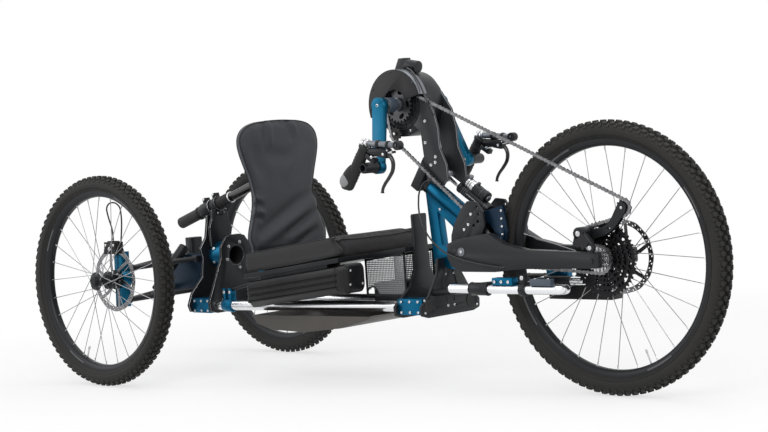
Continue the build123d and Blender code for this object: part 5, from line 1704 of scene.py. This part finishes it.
def makeDerailleur():
    axleX, axleZ = trike["wheelbase"], trike["frontRadius"]
    guide, tension = drive["guide"], drive["tension"]
    gear = Build()
    guideX, guideZ = axleX + guide[0], axleZ + guide[1]
    tensionX, tensionZ = axleX + tension[0], axleZ + tension[1]
    middle = ((guideX + tensionX) / 2 + 0.012, (guideZ + tensionZ) / 2 - 0.018)
    line = smoothRun([(guideX, guideZ, 0), (middle[0], middle[1], 0), (tensionX, tensionZ, 0)], 7)

    def cap(centre, start):
        return [(centre.x + 0.0150 * cos(start + pi * k / 6), centre.y + 0.0150 * sin(start + pi * k / 6))
                for k in range(1, 6)]

    for shift in (-0.0072, 0.0072):       # the cage's two curved plates
        left, right = [], []
        for index, place in enumerate(line):
            ahead = (line[min(index + 1, len(line) - 1)] - line[max(index - 1, 0)]).normalized()
            share = index / (len(line) - 1)
            wide = 0.0150 - 0.0040 * sin(pi * share)
            left.append((place.x - ahead.y * wide, place.y + ahead.x * wide))
            right.append((place.x + ahead.y * wide, place.y - ahead.x * wide))
        first, last = (line[1] - line[0]).normalized(), (line[-1] - line[-2]).normalized()
        outline = (right + cap(line[-1], atan2(last.y, last.x) - pi / 2) + left[::-1]
                   + cap(line[0], atan2(-first.y, -first.x) - pi / 2))
        slot = circle(line[7].x, line[7].y, 0.0020, 12, 4.0)
        plate = flatPlate([outline, slot], 0.0018, 0.0003)
        plate.transform(Matrix.Translation(at(0, trike["chainY"] + shift, 0)))
        gear.take(plate, 3)
    toothedWheel(gear, guideX, guideZ, guide[2] - 0.001, 1, 2)
    toothedWheel(gear, tensionX, tensionZ, tension[2] - 0.001, 1, 2)
    kneeX, kneeZ = axleX - 0.028, axleZ + 0.074
    mount, knuckle = at(axleX + 0.006, -0.095, axleZ + 0.036), at(kneeX, -0.095, kneeZ)
    gear.across(mount, 0.006, 0.005, 0.0130, 28, 3, 0.0015)
    gear.across(mount, 0.008, 0, 0.0062, 20, 2, 0.001)
    side = knuckle - mount
    gear.block((mount + knuckle) / 2 + Vector((-0.004, 0.002, -0.002)),
               (0.024, 0.030, 0.034), turnTo(side), 1)
    gear.block(knuckle + Vector((-0.006, 0.004, -0.022)), (0.022, 0.026, 0.026),
               Matrix.Rotation(0.3, 3, "Y"), 3)
    for shift in (-0.0055, 0.0055):       # the two links of the body
        offset = side.normalized().cross(Vector(toLeft)) * shift * 1.4
        gear.bar(mount + offset, knuckle + offset, 0.0066, 16, 0 if shift > 0 else 3, 0.0012)
    gear.bar(knuckle - Vector((0, 0.009, 0)), at(kneeX, -0.066, kneeZ), 0.0170, 32, 3, 0.002)
    gear.across(knuckle, 0.0105, 0, 0.0075, 24, 2, 0.001)
    gear.bar(at(kneeX, -0.067, kneeZ), at(guideX, -0.0592, guideZ), 0.0070, 20, 3, 0.001)
    gear.piece("gearChanger", "steering", ["greyMetal", "blackPlastic", "brightSteel", "blackAnodised"],
               ("derailleur",))
    wheels = Build()
    crankX, crankZ = trike["crank"]
    for key, originX, originZ, face in (("motorIdler", crankX, crankZ, -0.036),
                                        ("armIdler", axleX, axleZ, -0.060)):
        x, z, radius = originX + drive[key][0], originZ + drive[key][1], drive[key][2]
        toothedWheel(wheels, x, z, radius - 0.001, 0, 1, 0.0050)
        reach = at(x, face, z)
        wheels.bar(reach, at(x, trike["chainY"], z), 0.0052, 18, 1, 0.0005)
    wheels.piece("guideWheels", "steering", ["blackPlastic", "brightSteel"], ("chain_idlers",))


makeDerailleur()
print("derailleur and guide wheels made")

# battery, panels and footrests
battery = {
    "rear": 0.458, "front": 0.861, "capFront": 0.898, "outer": -0.199, "inner": -0.115, "low": -0.092,
    "high": -0.010, "grooves": (0.24, 0.46, 0.68), "groove": 0.0036,
    "rings": (("rear", 0.0005, 0.0105), ("rear", 0.003, 0.0060), ("rear", 0.008, 0.0022),
              ("rear", 0.014, 0.0),
              ("front", -0.012, 0.0), ("front", -0.010, 0.002), ("front", -0.007, 0.002),
              ("front", -0.006, 0.0), ("front", 0.0, 0.0)),    # end, distance from it and how much smaller
}


def seatLine(x, lift=0.0):
    return seat["frameZ"] + (x - seat["rear"]) * sin(seat["slope"]) / cos(seat["slope"]) + lift


def batterySection(x, shrink):
    outer, inner = battery["outer"] + shrink, battery["inner"] - shrink
    low, high = battery["low"] + shrink, battery["high"] - shrink
    tall = high - low
    points = [(inner - 0.010, low), (inner, low + 0.010), (inner, high - 0.010), (inner - 0.010, high),
              (outer + 0.012, high), (outer + 0.003, high - 0.004), (outer, high - 0.012)]
    for share in reversed(battery["grooves"]):
        z, deep = low + tall * share, battery["groove"]
        points += [(outer, z + deep), (outer + deep * 0.9, z + deep * 0.35),
                   (outer + deep * 0.9, z - deep * 0.35), (outer, z - deep)]
    points += [(outer, low + 0.020), (outer + 0.018, low + 0.0015), (outer + 0.022, low)]
    return [at(x, y, seatLine(x, z)) for y, z in points]


def makeBattery():
    pack = Build()
    rings = [batterySection(battery[end] + along, shrink) for end, along, shrink in battery["rings"]]
    pack.skin(rings, 0)
    capStart, capEnd = battery["front"] - 0.001, battery["capFront"]
    middleY, middleZ = (battery["outer"] + battery["inner"]) / 2, (battery["low"] + battery["high"]) / 2

    def capRing(x, wide, tall, corner):
        points = []
        for k in range(32):
            turn = 2 * pi * (k + 0.5) / 32
            y = wide / 2 * abs(cos(turn)) ** corner * (1 if cos(turn) > 0 else -1)
            z = tall / 2 * abs(sin(turn)) ** corner * (1 if sin(turn) > 0 else -1)
            points.append(at(x, middleY + y, seatLine(x, middleZ + z)))
        return points

    wide, tall = battery["inner"] - battery["outer"], battery["high"] - battery["low"] + 0.005
    pack.skin([capRing(capStart, wide, tall, 0.34), capRing(capEnd - 0.012, wide, tall, 0.34),
               capRing(capEnd - 0.003, wide - 0.010, tall - 0.010, 0.40),
               capRing(capEnd, wide - 0.020, tall - 0.020, 0.45)], 0)
    pack.piece("batteryShaped", "frame", ["batteryCase"], ("battery",))
    rows = [(at(capEnd, middleY + y, seatLine(capEnd, middleZ + z)), toFront, 0.0042)
            for y, z in ((0.026, -0.020), (-0.026, -0.018), (-0.022, 0.022))]
    screws("batteryScrews", "frame", rows, hands=(1,))


meshPanel = {"rear": 0.846, "front": 1.010, "low": 0.262, "out": 0.065, "thick": 0.003, "cell": 0.0062,
             "hole": 0.0021, "border": 0.007, "archX": 0.872, "archRadius": 0.024}
cellGrid = Shapes("cellGrid", {"Cell": "object", "Places": "object"})
cellGrid.end(cellGrid.copies(cellGrid.shape("Places"), "Cell",
                             {}))   # one pierced cell of the sheet on each point


def makeMeshPanels():
    cell, hole, thick = meshPanel["cell"] / 2, meshPanel["hole"], 0.0008
    square = [(cell * max(-1, min(1, 1.4142 * cos(pi * k / 4))),
               cell * max(-1, min(1, 1.4142 * sin(pi * k / 4))))
              for k in range(8)]
    ring = [(hole * cos(pi * k / 4), hole * sin(pi * k / 4)) for k in range(8)]
    shape = Build()
    shape.skin([[(x, thick, z) for x, z in square], [(x, thick, z) for x, z in ring],
                [(x, -thick, z) for x, z in ring], [(x, -thick, z) for x, z in square]], caps=False)
    places = []
    border = meshPanel["border"]
    columns = int((meshPanel["front"] - meshPanel["rear"] - 2 * border) / meshPanel["cell"])
    for column in range(columns):
        x = meshPanel["rear"] + border + (column + 0.5) * meshPanel["cell"]
        row = 0
        while True:
            z = meshPanel["low"] + border + (row + 0.5) * meshPanel["cell"]
            if z > seatLine(x) - border:
                break
            row += 1
            if (x - meshPanel["archX"]) ** 2 + (z - meshPanel["low"]) ** 2 > meshPanel["archRadius"] ** 2:
                for hand in (1, -1):
                    places.append(at(x, hand * (meshPanel["out"] - 0.0012), z))
    made = cellGrid.mesh("pierced", {"Cell": shapeHolder(shape, "cell"), "Places": placeHolder(places)})
    panel = Build()
    panel.take(made, 0)
    rear, front, low, half = meshPanel["rear"], meshPanel["front"], meshPanel["low"], border / 2
    for hand in (1, -1):
        y = hand * (meshPanel["out"] - meshPanel["thick"] / 2)
        corners = [(rear + half, low + half), (front - half, low + half),
                   (front - half, seatLine(front) - half), (rear + half, seatLine(rear) - half)]
        for (x0, z0), (x1, z1) in zip(corners, corners[1:] + corners[:1]):
            way = Vector((x1 - x0, 0, z1 - z0))
            panel.block(at((x0 + x1) / 2, y, (z0 + z1) / 2),
                        (border, meshPanel["thick"], way.length + border * 0.96),
                        turnTo(way, Vector(toLeft)), 1)
        arch = [at(meshPanel["archX"] + meshPanel["archRadius"] * cos(pi * k / 14), y,
                   low + half + meshPanel["archRadius"] * sin(pi * k / 14)) for k in range(15)]
        panel.tube(arch, 0.0026, 10, 1)
    panel.piece("piercedPanels", "frame", ["pierced", "blackAnodised"], ("mesh_panels",))


foot = {
    "outerY": 0.126, "z": 0.296, "radius": 0.0125, "clampX": 1.497, "blockX": 1.562,
"blueAbove": 0.3078, }


def makeFootrests():
    machined("foot_supports", ("blueAnodised", "blackPlastic"), 0.0020, pick=byHeight(foot["blueAbove"]))
    rows = [(at(x, 0.135, 0.3175), toLeft, 0.0046) for x in (1.404, 1.428, 1.452)]
    screws("saddleScrews", "frame", rows, "cap")
    parts = Build()
    for hand in (1, -1):
        y = hand * foot["outerY"]
        centre = at(foot["clampX"], y, foot["z"])
        parts.lathe(collar(foot["radius"] + 0.0003, 0.0184, 0.009, 0.0006, 0.001),
                    centre, toFront, 36, 0, loop=True)
        parts.block(centre + Vector((0, 0, 0.028)), (0.018, 0.014, 0.024), None, 0)
        ear = centre + Vector((0, 0, 0.032))
        parts.across(ear, 0.0095, 0.0095, 0.0060, 20, 1, 0.0008)
        block = at(foot["blockX"], hand * (foot["outerY"] + 0.003), foot["z"] + foot["radius"] + 0.0085)
        parts.block(block, (0.070, 0.018, 0.018), None, 2)
        for x in (-0.022, 0.022):
            parts.bar(block + Vector((x, 0, 0.008)), block + Vector((x, 0, 0.0105)), 0.0048, 18, 1, 0.0006)
        for x in (1.3135, 1.3705):        # rolled ends of the rubber sleeve
            parts.lathe([(0.0130, -0.0025), (0.0184, -0.0025), (0.0191, 0.0), (0.0184, 0.0025),
                         (0.0130, 0.0025)],
                        at(x, y, foot["z"]), toFront, 36, 0, loop=True)
        parts.bar(at(1.2352, y, foot["z"]), at(1.2325, y, foot["z"]), 0.0118, 28, 0, 0.0010)
    parts.piece("footFittings", "frame",
                ["blackPlastic", "brightSteel", "slatePaint"], bevel=0.0012, sharp=32)


makeBattery()
makeMeshPanels()
makeFootrests()
print("battery, panels and footrests made")

# finishes on the solids
def tubeInside(place, normal):    # second finish inside the backbone tube
    return 1 if Vector((place.y, place.z - plates["tubeZ"])).length < plates["tubeRadius"] - 0.002 else 0


def lowEdge(place, normal):       # second finish on the chamfer under the arm
    return 1 if normal.z < -0.35 and abs(normal.y) > 0.35 else 0


def rimFace(place, normal):       # second finish on the guard's rim
    return 1 if abs(normal.y) < 0.5 else 0


shapedNodes = {                   # node: finishes, width of the eased edge, its finish number, chooser
    "tail_plate": (("blackAnodised", "brightEdge"), 0.0012, 1),
    "flange_plates": (("blackAnodised", "brightEdge"), 0.0012, 1),
    "nose_plate": (("charcoalPaint",), 0.0020),
    "front_plate": (("charcoalPaint",), 0.0020),
    "backbone": (("blueAnodised", "blackPlastic"), 0.0015, -1, tubeInside),
    "rail_clamps": (("blueAnodised",), 0.0012),
    "head_column": (("blueAnodised",), 0.0012),
    "uprights": (("deepBlue",), 0.0012),
    "rear_carrier": (("blackAnodised", "nightBlue"), 0.0030, -1, byHeight(0.400)),
    "shock_yoke": (("nightBlue",), 0.0012),
    "crank_arms": (("deepBlue",), 0.0030),
    "push_bar": (("blackGloss",), 0.0),
    "wishbones": (("charcoalPaint",), 0.0015),
    "rear_shocks": (("blackAnodised",), 0.0006),
    "seat_frame": (("blackAnodised",), 0.0015),
    "foot_carriers": (("blackAnodised",), 0.0010),
    "steering_crowns": (("blackAnodised",), 0.0012),
    # the mast's eased edges in lighter grey metal are a painted highlight on its dark paint
    "mast": (("mastPaint", "greyMetal"), 0.0026, 1),
    "swingarm": (("charcoalPaint", "greyMetal"), 0.0014, -1, lowEdge),
    "rails": (("silverTube",), 0.0),
    "footrests": (("silverTube",), 0.0),
    "controller": (("blackPlastic",), 0.0020),
    "drive_housing": (("charcoalPaint",), 0.0020),
    "chain_guard": (("blackPlastic", "greyMetal"), 0.0010, -1, rimFace),
    "front_caliper": (("blackPlastic",), 0.0012),
    "push_grip": (("gripRubber",), 0.0015),
    "belly_pan": (("panGrey",), 0.0020),
    "control_cables": (("blackGloss",), 0.0),
    "brake_hoses": (("blackGloss",), 0.0),
}
for node, values in shapedNodes.items():
    machined(node, *values)
print("solids dressed")

# the row holder is removed
bpy.data.objects.remove(empty)
